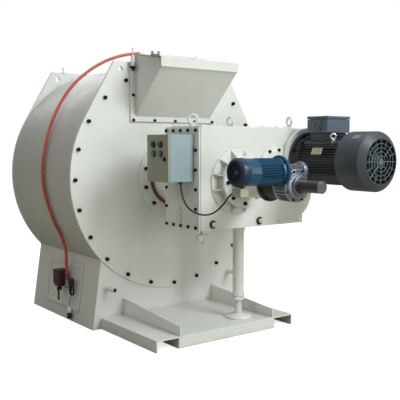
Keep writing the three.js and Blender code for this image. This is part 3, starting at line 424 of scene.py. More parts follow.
class Shape:
    """Solids in millimetres of the drive-side frame, gathered into one mesh."""

    def __init__(self):
        self.bm = bmesh.new()

    def rings(self, loops, closed=False, cap=True):
        """Skins a list of equal point loops; a loop of one point is a pole."""
        made = [[self.bm.verts.new(at(*p)) for p in loop] for loop in loops]
        pairs = list(zip(made, made[1:]))
        if closed:
            pairs.append((made[-1], made[0]))
        for a, b in pairs:
            n = max(len(a), len(b))
            if n == 1:
                continue
            for i in range(n):
                j = (i + 1) % n
                quad = [a[i % len(a)], a[j % len(a)], b[j % len(b)], b[i % len(b)]]
                face = list(dict.fromkeys(quad))
                if len(face) > 2:
                    self.bm.faces.new(face)
        if cap and not closed:
            for loop in (made[0], made[-1]):
                if len(loop) > 2:
                    self.bm.faces.new(loop)
        return self

    def lathe(self, outline, centre, axis=(0, 1, 0), sides=64, closed=True):
        """Turns [radius, height] points about an axis through centre."""
        u, v, w = basis(axis)
        c = Vector(centre)
        loops = []
        for radius, height in outline:
            if radius < 1e-6:
                loops.append([c + w * height])
                continue
            loops.append([
                c + w * height + (u * math.cos(t) + v * math.sin(t)) * radius
                for t in (2 * math.pi * i / sides for i in range(sides))
            ])
        return self.rings(loops, closed=closed, cap=False)

    def rod(self, radius, start, end, sides=24, edge=1.0):
        a, b = Vector(start), Vector(end)
        length = (b - a).length
        edge = min(edge, radius * 0.4, length * 0.4)
        outline = [(0, 0), (radius - edge, 0), (radius, edge), (radius, length - edge),
                   (radius - edge, length), (0, length)]
        return self.lathe(outline, a, b - a, sides, closed=False)

    def block(self, x0, x1, y0, y1, z0, z1):
        low = [(x0, y0, z0), (x1, y0, z0), (x1, y1, z0), (x0, y1, z0)]
        high = [(x, y, z1) for x, y, _ in low]
        return self.rings([low, high])

    def prism(self, outline, axis, a0, a1):
        """Outline of (u, v) points: (y, z) along x, (x, z) along y, (x, y) along z."""
        place = {
            "x": lambda p, a: (a, p[0], p[1]),
            "y": lambda p, a: (p[0], a, p[1]),
            "z": lambda p, a: (p[0], p[1], a),
        }[axis]
        return self.rings([[place(p, a) for p in outline] for a in (a0, a1)])

    def ring(self, centre, axis, major, minor, sides=32, around=12):
        outline = [
            (major + minor * math.cos(t), minor * math.sin(t))
            for t in (2 * math.pi * i / around for i in range(around))
        ]
        return self.lathe(outline, centre, axis, sides)

    def screw(self, centre, normal, radius=12.0, height=15.0):
        """Socket-head cap screw, with its round recess."""
        outline = [(0, height * 0.4), (radius * 0.5, height * 0.4), (radius * 0.5, height),
                   (radius * 0.9, height), (radius, height * 0.86), (radius, 0)]
        return self.lathe(outline, centre, normal, 14, closed=False)

    def hexagon(self, centre, normal, across=24.0, height=10.0):
        u, v, w = basis(normal)
        c = Vector(centre)

        def loop(radius, h):
            return [c + w * h + (u * math.cos(t) + v * math.sin(t)) * radius
                    for t in (math.pi * i / 3 for i in range(6))]

        r = across / math.sqrt(3)
        return self.rings([loop(r, 0), loop(r, height * 0.88), loop(r * 0.92, height)])

    def turned_copy(self, place):
        """Applies a placement, in millimetres about the frame's own origin, to all made so far."""
        to_mm = Matrix.Translation(at(0, 0, 0)) @ Matrix.Scale(MM, 4)
        self.bm.transform(to_mm @ place @ to_mm.inverted())
        return self


def polar(radius, degrees, x=0.0, z=AXIS_Z):
    a = math.radians(degrees)
    return x + radius * math.cos(a), z + radius * math.sin(a)


def finish_mesh(name, bm, material, body, nodes, bevel, angle):
    bmesh.ops.recalc_face_normals(bm, faces=bm.faces)
    mesh = bpy.data.meshes.new(name)
    bm.to_mesh(mesh)
    bm.free()
    mesh.polygons.foreach_set("use_smooth", [True] * len(mesh.polygons))
    mesh.set_sharp_from_angle(angle=math.radians(angle))
    mesh.materials.append(material)
    made = bpy.data.objects.new(name, mesh)
    bpy.context.scene.collection.objects.link(made)
    if bevel:
        rounding = made.modifiers.new("rounding", "BEVEL")
        rounding.width = bevel * MM
        rounding.segments = 2
        rounding.limit_method = "ANGLE"
        rounding.angle_limit = math.radians(38)
        rounding.harden_normals = True
    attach(made, body)
    if nodes:
        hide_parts(*nodes)
    return made


def piece(name, shape, material, body="frame", nodes=(), bevel=0.0, angle=32):
    return finish_mesh(name, shape.bm, material, body, nodes, bevel, angle)


def dressed(node, material, bevel):
    """A clean copy of a CAD node with rounded edges, which stands for it."""
    source = frame["nodes"][node]
    bm = bmesh.new()
    bm.from_mesh(source.data)
    bmesh.ops.remove_doubles(bm, verts=bm.verts, dist=2e-5)
    bmesh.ops.dissolve_limit(bm, angle_limit=math.radians(0.6), verts=bm.verts, edges=bm.edges)
    return finish_mesh(node + "_skin", bm, material, source["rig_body"], [node], bevel, 32)


def paint(nodes, material):
    """Gives CAD nodes that stay as they are a better material."""
    for node in nodes:
        slots = frame["nodes"][node].data.materials
        slots.clear()
        slots.append(material)


# ------------------------------------------------------------------ what repeats on many parts
def bolt_circle(shape, radius, first, count, y, head, height, centre=(0, AXIS_Z), normal=TO_DRIVE):
    """Cap screws spaced evenly round an axis along y."""
    for i in range(count):
        x, z = polar(radius, first + 360 * i / count, *centre)
        shape.screw((x, y, z), normal, head, height)


def screw_piece(name, places, normal, head, height, material=BLACKED, body="frame"):
    screws = Shape()
    for place in places:
        screws.screw(place, normal, head, height)
    piece(name, screws, material, body=body)


def turned_piece(name, outline, material, nodes=(), body="frame", sides=96, closed=True,
                 centre=DRUM_AXIS, axis=TO_REAR):
    shape = Shape()
    shape.lathe(outline, centre, axis, sides, closed)
    piece(name, shape, material, body=body, nodes=nodes)


def add_into(target, source):
    mesh = bpy.data.meshes.new("part")
    source.bm.to_mesh(mesh)
    source.bm.free()
    target.bm.from_mesh(mesh)
    bpy.data.meshes.remove(mesh)


def add_ribs(shape, outline, thick, first, step, count, centre=(0, AXIS_Z)):
    """Flat ribs about an axis along y; the outline's points are (radius, y)."""
    x, z = centre
    for i in range(count):
        rib = Shape()
        rib.prism(outline, "z", -thick / 2, thick / 2)
        turn = Matrix.Rotation(math.radians(first + step * i), 4, "Y")
        rib.turned_copy(Matrix.Translation((x, 0, z)) @ turn)
        add_into(shape, rib)


def fin_rows(shape, core, tip, start, end, step, thick, reach, along, centre):
    """Straight cooling fins on the four sides of a round motor frame that lies along x or y."""
    def fin(u0, u1, v0, v1):
        u0, u1, v0, v1 = centre[0] + u0, centre[0] + u1, centre[1] + v0, centre[1] + v1
        if along == "y":
            shape.block(u0, u1, start, end, v0, v1)
        else:
            shape.block(start, end, u0, u1, v0, v1)

    count = int(reach // step)
    for k in range(-count, count + 1):
        low, high = k * step - thick / 2, k * step + thick / 2
        inner = math.sqrt(max(core ** 2 - (k * step) ** 2, 0)) - 3
        outer = math.sqrt(tip ** 2 - (abs(k * step) + thick / 2) ** 2)
        for a, b in ((-outer, -inner), (inner, outer)):
            fin(a, b, low, high)
            fin(low, high, a, b)


# ------------------------------------------------------------------ drum, base and skid
def add_drum():
    (_, near, _), (radius, far, _) = corners("drum_jacket")
    inner = radius - DRUM_WALL
    shell = Shape()
    shell.lathe([(inner, near), (radius, near), (radius, far), (inner, far)], DRUM_AXIS, sides=180)
    for seam in (118, 812):
        foot, crown = radius - 1, radius + 0.8
        bead = [(foot, seam - 5), (crown, seam - 2), (crown, seam + 2), (foot, seam + 5)]
        shell.lathe(bead, DRUM_AXIS, sides=180)
    # The drum gets the darkened cream: painted shade.
    piece("drum_shell", shell, CREAM_SHADED, nodes=["drum_jacket"])
    x, y, top = HOSE_ROUTE[-1]
    fitting = Shape()
    fitting.rod(15, (x, y, top - 31), (x, y, top - 19), 24)
    fitting.hexagon((x, y, top - 19), UP, 24, 9)
    fitting.rod(10.5, (x, y, top - 11), (x, y, top), 20)
    piece("drum_water_nipple", fitting, ZINC)
    for node in ("front_plate", "rear_plate"):
        dressed(node, CREAM, 2.0)


def add_plate_screws():
    plate_back = corners("rear_plate")[1][1]
    screws = Shape()
    for i in range(24):
        x, z = polar(700, 15 * i)
        screws.screw((x, plate_back, z), TO_REAR, *M16_HEAD)
        behind_chute = abs(x) < 330 and z > 1280
        if not behind_chute:
            screws.screw((x, 0, z), TO_DRIVE, *M16_HEAD)
    piece("drum_plate_screws", screws, BLACKED)
    bosses = Shape()
    bolt_circle(bosses, 228, 15, 12, -14.2, *M16_HEAD)
    bolt_circle(bosses, 205, 15, 12, 945.5, 12, 12, normal=TO_REAR)
    piece("hub_flange_screws", bosses, BLACKED)


def add_base():
    dressed("base_box", CREAM, 2.5)
    dressed("side_inspection_cover", CREAM, 1.2)
    seat_x, slope = -609, 63 / 433
    places = [(y, z) for y in (224, 380, 540, 695) for z in (93, 359)] + [(224, 226), (695, 226)]
    screw_piece("inspection_cover_screws", [(seat_x + slope * z, y, z) for y, z in places],
                (-1, 0, -0.145), 6, 5, CREAM)
    for node in ("skid_channel_left", "skid_channel_right", "service_tray"):
        dressed(node, CREAM, 1.6)
    weld = Shape()
    weld.prism([(-1, 64), (5.7, 64), (5.7, 71)], "x", -530, 470)
    for x, side in ((-371.8, 1), (313, -1)):
        weld.prism([(x, 70), (x + 6 * side, 70), (x, 76)], "y", -628, 0)
    piece("tray_welds", weld, CREAM)


def add_water_stubs():
    stubs, caps = Shape(), Shape()
    for x in (-493, 460):
        axis = (x, 0, 255)
        stubs.lathe([(13, -94), (16.5, -94), (17, -92), (17, 8), (13, 8)], axis, sides=36)
        stubs.lathe([(16, 5.5), (24, 5.5), (20, -1), (17, -4)], axis, sides=36)
        caps.lathe([(0, -91), (13.2, -91), (13.2, -66), (0, -66)], axis, sides=32, closed=False)
        caps.ring((x, -92, 255), TO_REAR, 10, 1.6, 28, 8)
    piece("water_stubs", stubs, CREAM)
    piece("water_stub_caps", caps, BLACK)


# ------------------------------------------------------------------ feed chute
def add_chute():
    dressed("feed_chute", CREAM, 1.6)
    dressed("chute_lid", CREAM, 2.0)
    places = [(x, -12, z) for x in (-305, 305) for z in (1296, 1450, 1607)]
    places += [(x, -12, 1296) for x in (-150, 6, 160)]
    screw_piece("chute_screws", places, TO_DRIVE, 9, 9)


def add_hose_post():
    x, y = -316, -28
    post = Shape()
    post.rod(11, (x, y, 1622), (x, y, 1690), 28, 2)
    post.rod(4, (x, y, 1688), (x, y, 1728), 16)
    post.rod(7, (x, y, 1728), (x, y, 1735), 16, 2)
    piece("hose_post_rod", post, CREAM)
    foot = Shape()
    foot.rod(18, (x, y, 1612), (x, y, 1624), 28, 2)
    foot.block(x - 9, x + 9, y, -12.2, 1614, 1622)
    piece("hose_post_foot", foot, BLACKED)


def add_rear_plate_pin():
    x, y = -338, 918
    pin = Shape()
    for radius, low, high, sides in ((14, 1650, 1657, 24), (4, 1656, 1680, 12), (6.5, 1680, 1690, 12)):
        pin.rod(radius, (x, y, low), (x, y, high), sides)
    piece("rear_plate_pin", pin, CREAM)


def add_lid_fittings():
    grip = Shape()
    for y, z in ((-228, 1674), (-296, 1664)):
        grip.rod(4.5, (-288, y, z - 10), (-296, y, z + 16), 16)
        grip.rod(12, (-292, y, z), (-300, y, z), 24, 3)
        knob = [(0, 0), (7, 1), (10, 6), (7, 11), (0, 12)]
        grip.lathe(knob, (-296, y, z + 14), (-0.3, 0, 1), 20, closed=False)
    grip.rod(5, (-302, -222, 1680), (-302, -302, 1668), 16)
    piece("lid_grip", grip, ZINC, body="lid")
    knuckles = Shape()
    for x in (-215, 215):
        knuckles.rod(8.5, (x - 40, -2, 1712), (x + 40, -2, 1712), 24)
        knuckles.block(x - 36, x + 36, -12, -4, 1690, 1712)
    piece("lid_hinge_knuckles", knuckles, CREAM)
    straps = Shape()
    for x in (-130, 130):
        straps.prism([(-70, 1694.6), (-8, 1706), (-8, 1712), (-70, 1699.6)], "x", x - 22, x + 22)
        straps.screw((x, -40, 1704.5), UP, 6, 4)
    piece("lid_hinge_straps", straps, CREAM, body="lid")


# ------------------------------------------------------------------ hub and gearbox
def add_hub():
    neck = [(91, -314.6), (170, -314.6), (170, -20), (174, -15), (258, -14.3), (262, -11),
            (262, -0.4), (122, -0.4), (122, 19), (91, 19)]
    turned_piece("hub_neck", neck, CREAM, ["hub_housing"], sides=120)
    seal = [(170.4, -30), (186, -30), (188, -27), (188, -14.6), (170.4, -14.6)]
    turned_piece("hub_seal_ring", seal, PRIMER)
    rear = [(122, 908.5), (122, 928.4), (235, 928.4), (235, 942), (231, 945), (160, 948), (150, 955),
            (150, 1002), (146, 1006), (118, 1006), (110, 1010.3), (0, 1010.3), (0, 996), (91, 996),
            (91, 908.5)]
    turned_piece("rear_bearing_cap", rear, CREAM, ["rear_bearing_housing"], closed=False)
    ends = Shape()
    bolt_circle(ends, 132, 0, 8, 1005.6, 7, 4, normal=TO_REAR)
    piece("rear_bearing_screws", ends, BLACKED)


def add_case():
    dressed("gearbox_case", CREAM, 4.0)
    dressed("gearbox_side_cover", CREAM, 2.0)
    rows = [(CASE_SIDE, y, z) for z in (1225, 676) for y in (-336, -410, -484, -558, -634)]
    rows += [(CASE_SIDE, y, z) for z in (1114, 1003, 892, 782) for y in (-336, -634)]
    screw_piece("side_cover_screws", rows, TO_LEFT, 9.5, 9)
    plugs = [(x, CASE_FRONT, 676) for x in (486, 330)]
    screw_piece("case_front_plugs", plugs, TO_DRIVE, 8, 4, CREAM)


def add_case_top():
    top = Shape()
    top.block(-236, 420, -648, -332, CASE_TOP + 0.2, CASE_TOP + 6)
    piece("case_top_plate", top, CREAM, bevel=2.0)
    heads = [(x, y, CASE_TOP + 6) for x in (-222, -110, 0, 110, 220, 330, 406) for y in (-634, -346)]
    screw_piece("case_top_screws", heads, UP, 8, 7, CREAM)
    eyes = Shape()
    for x, y, turn in ((-227, -545, 0.9), (471, -600, -0.2), (190, -360, 0.2)):
        foot = [(0, 0), (21, 0), (21, 7), (13, 12), (9, 16), (0, 16)]
        eyes.lathe(foot, (x, y, CASE_TOP), UP, 28, closed=False)
        eyes.ring((x, y, CASE_TOP + 43), (math.cos(turn), math.sin(turn), 0), 26, 7, 40, 12)
    piece("lifting_eyes", eyes, CREAM)


def add_oil_gauge():
    """A slot-shaped glass in a frame: two half rounds, drawn apart upwards and downwards."""
    y, z, radius, half_slot, sides = -460, 738, 26, 22, 24
    outline = []
    for i in range(sides):
        a = math.tau * i / sides
        shift = half_slot if math.sin(a) > 0 else -half_slot
        outline.append((y + radius * math.cos(a), z + radius * math.sin(a) + shift))
    gauge = Shape()
    gauge.prism(outline, "x", -278, -270.2)
    piece("oil_gauge_frame", gauge, CREAM, bevel=2.0)
    inner = [(y + (u - y) * 0.5, z + (v - z) * 0.72) for u, v in outline]
    glass = Shape()
    glass.prism(inner, "x", -280, -277)
    piece("oil_gauge_glass", glass, GAUGE_GLASS)


def add_oil_plugs():
    seals, plugs = Shape(), Shape()
    for x in (-176, 172):
        seals.lathe([(14, -2), (22, -2), (23, -5), (22, -10), (14, -10)], (x, CASE_FRONT, 692), sides=32)
        plugs.hexagon((x, -674, 692), TO_DRIVE, 27, 16)
        plugs.rod(8, (x, -689, 692), (x, -696, 692), 20)
    piece("oil_plug_washers", seals, BLACKED)
    piece("oil_plugs", plugs, CREAM)
    drain = Shape()
    drain.rod(13, (-206, -611, 657.6), (-206, -611, 628), 24)
    drain.block(-246, -176, -630, -592, 596, 630)
    drain.rod(10, (-204, -640, 610), (-204, -600, 610), 20)
    drain.rod(7, (-206, -611, 594), (-206, -611, 574), 16)
    piece("drain_cock", drain, CREAM, bevel=3.0)


def add_bearing_caps():
    cap = Shape()
    cap.lathe([(82, -665.4), (190, -665.4), (190, -672), (187, -675), (138, -678), (132, -684),
               (132, -718), (148, -720), (150, -723), (150, -735), (147, -738), (90, -740), (84, -746),
               (84, -948), (81, -951.6), (45, -951.6), (45, -730), (82, -730)], DRUM_AXIS, sides=96)
    add_ribs(cap, [(128, -670), (187, -670), (187, -677), (149, -722), (128, -722)], 9, 15, 30, 12)
    piece("main_bearing_cover", cap, CREAM, nodes=["main_bearing_cap"], bevel=1.5)
    screws = Shape()
    bolt_circle(screws, 124, 0, 8, -738, 11, 13)
    for i in range(8):
        x, z = polar(98, 29.4 + 45 * i, *LAY)
        clear_of_cap = math.hypot(x, z - AXIS_Z) > 204
        clear_of_motor = math.hypot(x - DRIVE[0], z - DRIVE[1]) > 210
        if clear_of_cap and clear_of_motor:
            screws.screw((x, -677.5, z), TO_DRIVE, 9.5, 11)
    piece("bearing_cap_screws", screws, BLACKED)
    dressed("layshaft_cap", CREAM, 1.5)
    ring = [(118, -699.7), (196, -699.7), (198, -697), (198, -672), (192, -665.5), (118, -665.5)]
    turned_piece("motor_adapter", ring, CREAM, ["motor_adapter_ring"], centre=DRIVE_AXIS)


# ------------------------------------------------------------------ main motor
def add_main_motor():
    face, rear, core, body_radius = MOTOR_FACE, MOTOR_REAR, 121, 146
    body = Shape()
    body.lathe([(62, face - 0.4), (173, face - 0.4), (173, face - 15), (170, face - 18), (150, face - 20),
                (body_radius, face - 26), (body_radius, face - 44), (140, face - 48), (core, face - 50),
                (core, rear + 20), (140, rear + 16), (144, rear + 12), (144, rear + 0.2), (62, rear + 0.2)],
               DRIVE_AXIS, sides=96)
    fin_rows(body, core, body_radius - 0.4, rear + 14, face - 46, 15, 5, 92, "y", DRIVE)
    piece("motor_housing", body, MOTOR_PAINT, nodes=["main_motor_frame"], angle=28)
    bolts = Shape()
    for count, radius, first, y, across, height in ((8, 160, 22.5, face - 18, 20, 10),
                                                    (4, 148, 45, face - 44, 11, 6)):
        for i in range(count):
            x, z = polar(radius, first + 360 * i / count, *DRIVE)
            bolts.hexagon((x, y, z), TO_DRIVE, across, height)
    piece("motor_flange_bolts", bolts, BLACKED)


def add_motor_cowl():
    rim = MOTOR_REAR - 0.4
    cowl = [(172, rim), (172, -1241), (170.5, -1246), (136, -1274), (132, -1276.9), (126, -1276.9),
            (126, -1272), (131, -1270), (166, -1242), (168, rim)]
    turned_piece("motor_fan_cowl", cowl, COWL_PAINT, ["main_motor_cowl"], centre=DRIVE_AXIS)
    add_motor_grille(-1273)
    fan = Shape()
    fan.lathe([(24.5, -1235), (42, -1235), (46, -1203), (110, -1199), (112, -1195.2), (24.5, -1195.2)],
              DRIVE_AXIS, sides=64)
    add_ribs(fan, [(40, -1234), (106, -1228), (110, -1197), (40, -1197)], 4, 0, 45, 8, DRIVE)
    piece("motor_fan", fan, FAN_GREY, body="main_motor_rotor", nodes=["main_motor_fan"])


def add_motor_grille(y):
    def on_grille(radius, degrees):
        x, z = polar(radius, degrees, *DRIVE)
        return (x, y, z)

    x, z = DRIVE
    grille = Shape()
    for radius in (34, 57, 80, 103):
        grille.ring((x, y, z), TO_REAR, radius, 2.0, 64, 8)
    for i in range(16):
        start = 34 if i % 2 == 0 else 80
        grille.rod(2.2, on_grille(start, 22.5 * i), on_grille(129, 22.5 * i), 8)
    grille.rod(20, (x, y - 3, z), (x, y + 3, z), 32)
    for i in range(4):
        grille.rod(2.4, on_grille(15, 90 * i), on_grille(36, 90 * i), 8)
    piece("motor_grille", grille, GRILLE_PAINT)


def add_motor_box():
    x, z = DRIVE
    outline = [(-78, 118), (78, 118), (84, 165), (-84, 165)]
    saddle = Shape()
    saddle.prism([(x + u, z + v) for u, v in outline], "y", -936, -794)
    piece("motor_box_saddle", saddle, MOTOR_PAINT, bevel=3.0)
    entry = (x - 96, -872, z + 208)
    box = Shape()
    box.block(x - 96, x + 98, -948, -782, z + 166, z + 246)
    box.lathe([(0, 8), (30, 8), (33, 4), (33, 0), (24, -2)], entry, TO_LEFT, 36, closed=False)
    box.lathe([(20, 6), (24, 6), (24, 12), (20, 12)], entry, TO_LEFT, 32)
    piece("motor_terminal_box", box, TERMINAL_PAINT, nodes=["main_motor_terminal_box"],
          bevel=3.0)
    lid = Shape()
    lid.block(x - 98, x + 100, -950, -780, z + 247.5, z + 264)
    piece("motor_terminal_lid", lid, TERMINAL_PAINT, bevel=4.0)
    heads = [(x + dx, y, z + 261.5) for dx in (-86, 88) for y in (-938, -792)]
    screw_piece("motor_terminal_screws", heads, UP, 5, 4, ZINC)


def plate_place(radius, degrees, y):
    """Lays a plate that's made flat across y on a round of the main motor, at an angle about it."""
    x, z = polar(radius, degrees, *DRIVE)
    normal = Vector((math.cos(math.radians(degrees)), 0, math.sin(math.radians(degrees))))
    turn = Matrix((TO_REAR, normal, normal.cross(TO_REAR))).transposed().to_4x4()
    return Matrix.Translation((x, y, z)) @ turn


def add_motor_fittings():
    x, z = DRIVE
    shoulder = Shape()
    outline = [(-108, 98), (-66, 98), (-66, 124), (-92, 116), (-106, 104)]
    shoulder.prism([(x + u, z + v) for u, v in outline], "y", -1052, -760)
    piece("motor_smooth_shoulder", shoulder, MOTOR_PAINT, bevel=3.0)
    eye = Shape()
    eye.rod(12, (x - 92, -1000, z + 96), (x - 96, -1000, z + 124), 24, 3)
    eye.ring((x - 98, -1000, z + 142), (0.5, 1, 0), 16, 6, 32, 12)
    piece("motor_lifting_eye", eye, CHROME)
    plate = Shape()
    plate.block(-42, 42, -1.2, 1.2, -21, 21)
    plate.turned_copy(plate_place(147.5, 157, -905))
    piece("motor_rating_plate", plate, PLATE, bevel=0.6)
    badge = Shape()
    badge.block(-24, 24, -0.8, 0.8, -17, 17)
    badge.turned_copy(plate_place(172.6, 126, -1178))
    piece("cowl_plain_badge", badge, ALLOY)


# ------------------------------------------------------------------ pressure adjuster
def add_spindle():
    spindle = [(45, -952.1), (96, -952.1), (96, -963), (93, -966), (80, -968), (78, -972), (78, -1050),
               (74, -1061.6), (45, -1061.6)]
    turned_piece("spindle_body", spindle, BROWN_PAINT, ["spindle_housing"], sides=72)
    bolts = Shape()
    bolt_circle(bolts, 88, 22.5, 8, -966, 6.5, 7)
    piece("spindle_screws", bolts, BLACKED)
    tube = [(27, -1186.4), (38, -1186.4), (38, -1196), (36, -1198), (32, -1199), (32, -1346), (27, -1346)]
    turned_piece("spindle_guard", tube, TUBE_PAINT, ["spindle_tube"], sides=64)
    cap = [(0, -1353.8), (30, -1353.8), (32.5, -1351), (32.5, -1344), (28, -1343), (0, -1343)]
    turned_piece("spindle_end_cap", cap, ALLOY, sides=64, closed=False)


def add_worm_box():
    body = Shape()
    body.block(-76, 76, -1160, -1078, 925, 1022)
    roof = ((-70, 1020), (70, 1020), (52, 1043), (-52, 1043))
    body.rings([[(x, y, z) for x, z in roof] for y in (-1156, -1082)])
    body.lathe([(28, -1172), (84, -1172), (88, -1168), (88, -1158), (79, -1152), (79, -1086), (86, -1080),
                (86, -1068), (76, -1062.4), (28, -1062.4)], DRUM_AXIS, sides=72)
    body.lathe([(24, 0), (46, 0), (50, 4), (50, 26), (24, 26)], (52, WORM_Y, WORM_Z), TO_RIGHT, 40)
    body.lathe([(22, 0), (70, 0), (72, 4), (72, 20), (22, 20)], (-60, WORM_Y, WORM_Z), TO_LEFT, 48)
    for dy in (-30, -10, 10, 30):
        body.block(-79, 79, WORM_Y + dy - 2.5, WORM_Y + dy + 2.5, 930, 1026)
    add_ribs(body, [(70, -1160), (87, -1160), (86, -1078), (70, -1078)], 5, 0, 15, 12)
    piece("worm_box", body, ALLOY, nodes=["worm_housing"], bevel=2.0)
    cover = Shape()
    cover.lathe([(39, -1196), (46, -1196), (50, -1192), (52, -1180), (66, -1176), (70, -1176), (72, -1174),
                 (72, -1164), (39, -1164)], DRUM_AXIS, sides=72)
    add_ribs(cover, [(50, -1170), (72, -1170), (66, -1178), (50, -1182)], 6, 22.5, 45, 8)
    piece("worm_box_cover", cover, ALLOY, bevel=0.8)
    screws = Shape()
    bolt_circle(screws, 80, 22.5, 8, -1172, 5.5, 6)
    piece("worm_box_screws", screws, BLACKED)


def about_worm(radius, degrees, x):
    y, z = polar(radius, degrees, WORM_Y, WORM_Z)
    return (x, y, z)


def add_adjuster_motor():
    core = 59
    body = Shape()
    body.lathe([(30, 80.4), (85, 80.4), (85, 90), (82, 93), (72, 95), (70, 99), (70, 110), (core, 114),
                (core, 250), (68, 256), (70, 260), (70, 337.6), (30, 337.6)], WORM_AXIS, TO_LEFT, 72)
    fin_rows(body, core, 71, -262, -108, 12.5, 3.6, 50, "x", (WORM_Y, WORM_Z))
    piece("adjuster_motor_body", body, BLUE_PAINT, nodes=["adjuster_motor_frame"], angle=28)
    cowl = [(74, 338.4), (74, 366), (72, 374), (62, 383.8), (50, 383.8), (50, 380), (60, 380), (69, 371),
            (71, 364), (71, 338.4)]
    # The fan cowl gets the darkened blue: painted shade.
    turned_piece("adjuster_fan_cowl", cowl, BLUE_SHADED, ["adjuster_motor_cowl"], sides=72,
                 centre=WORM_AXIS, axis=TO_LEFT)
    grille_x = -381
    grille = Shape()
    for radius in (16, 30, 44):
        grille.ring((grille_x, WORM_Y, WORM_Z), TO_RIGHT, radius, 1.8, 40, 8)
    for i in range(6):
        grille.rod(1.8, about_worm(14, 60 * i, grille_x), about_worm(52, 60 * i, grille_x), 8)
    # The grille gets the darkened blue: painted shade.
    piece("adjuster_grille", grille, BLUE_SHADED)
    disc = [(13.5, 360.5), (58, 360.5), (58, 363), (13.5, 363)]
    turned_piece("adjuster_fan_disc", disc, BLACK, body="adjuster_rotor", sides=40,
                 centre=WORM_AXIS, axis=TO_LEFT)
    bolts = Shape()
    for i in range(4):
        bolts.hexagon(about_worm(77, 45 + 90 * i, -92), TO_LEFT, 11, 7)
    piece("adjuster_flange_bolts", bolts, BLACKED)
    plate = Shape()
    plate.block(-328, -264, WORM_Y - 72.5, WORM_Y - 66, WORM_Z - 6, WORM_Z + 26)
    # Tinted the pale blue of a highlight: partly plate, partly painted highlight.
    piece("adjuster_rating_plate", plate, PLATE_HIGHLIGHT_BLUE, bevel=0.6)


def add_adjuster_box():
    box = Shape()
    box.block(-374, -322, WORM_Y - 38, WORM_Y + 30, 886, 922)
    box.block(-376, -320, WORM_Y - 40, WORM_Y + 30.5, 922.6, 928)
    box.block(-336, -323, WORM_Y - 20, WORM_Y + 20, 926, 946)
    # The box gets the darkened cream: painted shade.
    piece("adjuster_terminal_box", box, CREAM_IN_SHADE, bevel=2.0)
    entry = (-350, WORM_Y + 29, 897)
    gland = Shape()
    gland.hexagon(entry, TO_REAR, 19, 7)
    gland.lathe([(0, 6), (8.5, 6), (8.5, 10), (6, 14), (0, 14)], entry, sides=20, closed=False)
    piece("adjuster_gland", gland, BLACK)


# ------------------------------------------------------------------ control box
def add_controls():
    dressed("control_box", BOX_PAINT, 2.5)
    dressed("control_door", DOOR_PAINT, 2.5)
    door_face = corners("control_door")[0][0]
    rim = [(14.8, -0.2), (19, -0.2), (19, 2.5), (17.6, 4), (14.8, 4)]
    bezels = Shape()
    for node, material in (("green_button_1", GREEN), ("green_button_2", GREEN),
                           ("grey_button_1", KNOB), ("grey_button_2", KNOB)):
        dressed(node, material, 1.5)
        _, y, z = middle(node)
        bezels.lathe(rim, (door_face, y, z), TO_LEFT, 32)
    piece("button_bezels", bezels, BLACK, body="door")
    dressed("key_lock", BLACK, 1.0)
    pins = Shape()
    for z in (985, 1150):
        pins.rod(3.6, (-430.3, -400, z - 16), (-430.3, -400, z + 16), 24)
    piece("door_hinge_pins", pins, ZINC, body="door")
    heads = [(door_face, y, z) for y in (-597, -420) for z in (957, 1180)]
    screw_piece("door_screws", heads, TO_LEFT, 3.5, 1.5, ZINC, body="door")
    exit_place = (-350, -600, 936.8)
    gland = Shape()
    gland.hexagon(exit_place, DOWN, 24, 7)
    gland.lathe([(11, 6), (11, 13), (7, 14.4), (0, 14.4), (0, 6)], exit_place, DOWN, 24, closed=False)
    piece("box_gland", gland, BLACK)


# ------------------------------------------------------------------ jack, valve and lead
def add_jack():
    x, y, _ = middle("jack_tube")
    axis = (x, y, 0)
    tube = Shape()
    tube.lathe([(28, 205.4), (35, 205.4), (35, 642), (38, 648), (58, 649), (58, 657.4), (28, 657.4)],
               axis, UP, 56)
    tube.lathe([(34, 207), (38.5, 207), (39.5, 210), (38.5, 226), (34, 228)], axis, UP, 56)
    piece("jack_leg", tube, CREAM, nodes=["jack_tube"])
    dressed("jack_nut", CREAM, 2.0)
    root, crest, pitch, z = 20.2, 22.5, 4.8, 97.0
    outline = [(0, 70.4), (80, 70.4), (82, 73), (82, 80), (78, 84.3), (40, 87), (33, 94.5), (20.4, 96)]
    while z < 516:
        outline += [(root, z), (crest, z + pitch / 4), (crest, z + pitch / 2), (root, z + pitch * 3 / 4)]
        z += pitch
    outline += [(root, 519), (0, 519.8)]
    screw = Shape()
    screw.lathe(outline, axis, UP, 40, closed=False)
    piece("jack_foot_screw", screw, CREAM, body="screw", nodes=["jack_screw"], angle=50)


def add_valve():
    coil = Shape()
    coil.block(-648, -577, 387, 458, 232, 326)
    coil.block(-642, -583, 393, 452, 216, 234)
    coil.rod(9, (-612, 422, 324), (-612, 422, 328), 16)
    piece("valve_coil", coil, MAROON, nodes=["water_valve"], bevel=5.0)
    flange = Shape()
    flange.rod(34, (-592, 446, 246), (-572, 446, 246), 48, 3)
    flange.rod(24, (-604, 448, 240), (-590, 448, 240), 36, 3)
    piece("valve_wall_flange", flange, PRIMER)
    x, y, _ = HOSE_ROUTE[0]
    outlet_z = 226
    outlet = Shape()
    outlet.rod(12.6, (x, 386, outlet_z), (x, 341, outlet_z), 28, 2)
    outlet.hexagon((x, 372, outlet_z), TO_DRIVE, 25, 12)
    outlet.rod(8, (x, y, outlet_z), (x, y, 247.6), 20)
    outlet.lathe([(10.2, 250), (12, 250), (12.4, 254), (12, 262), (10.2, 262)], (x, y, 0), UP, 28)
    piece("valve_outlet", outlet, ZINC)
    dressed("valve_lever", BLACK, 2.0)


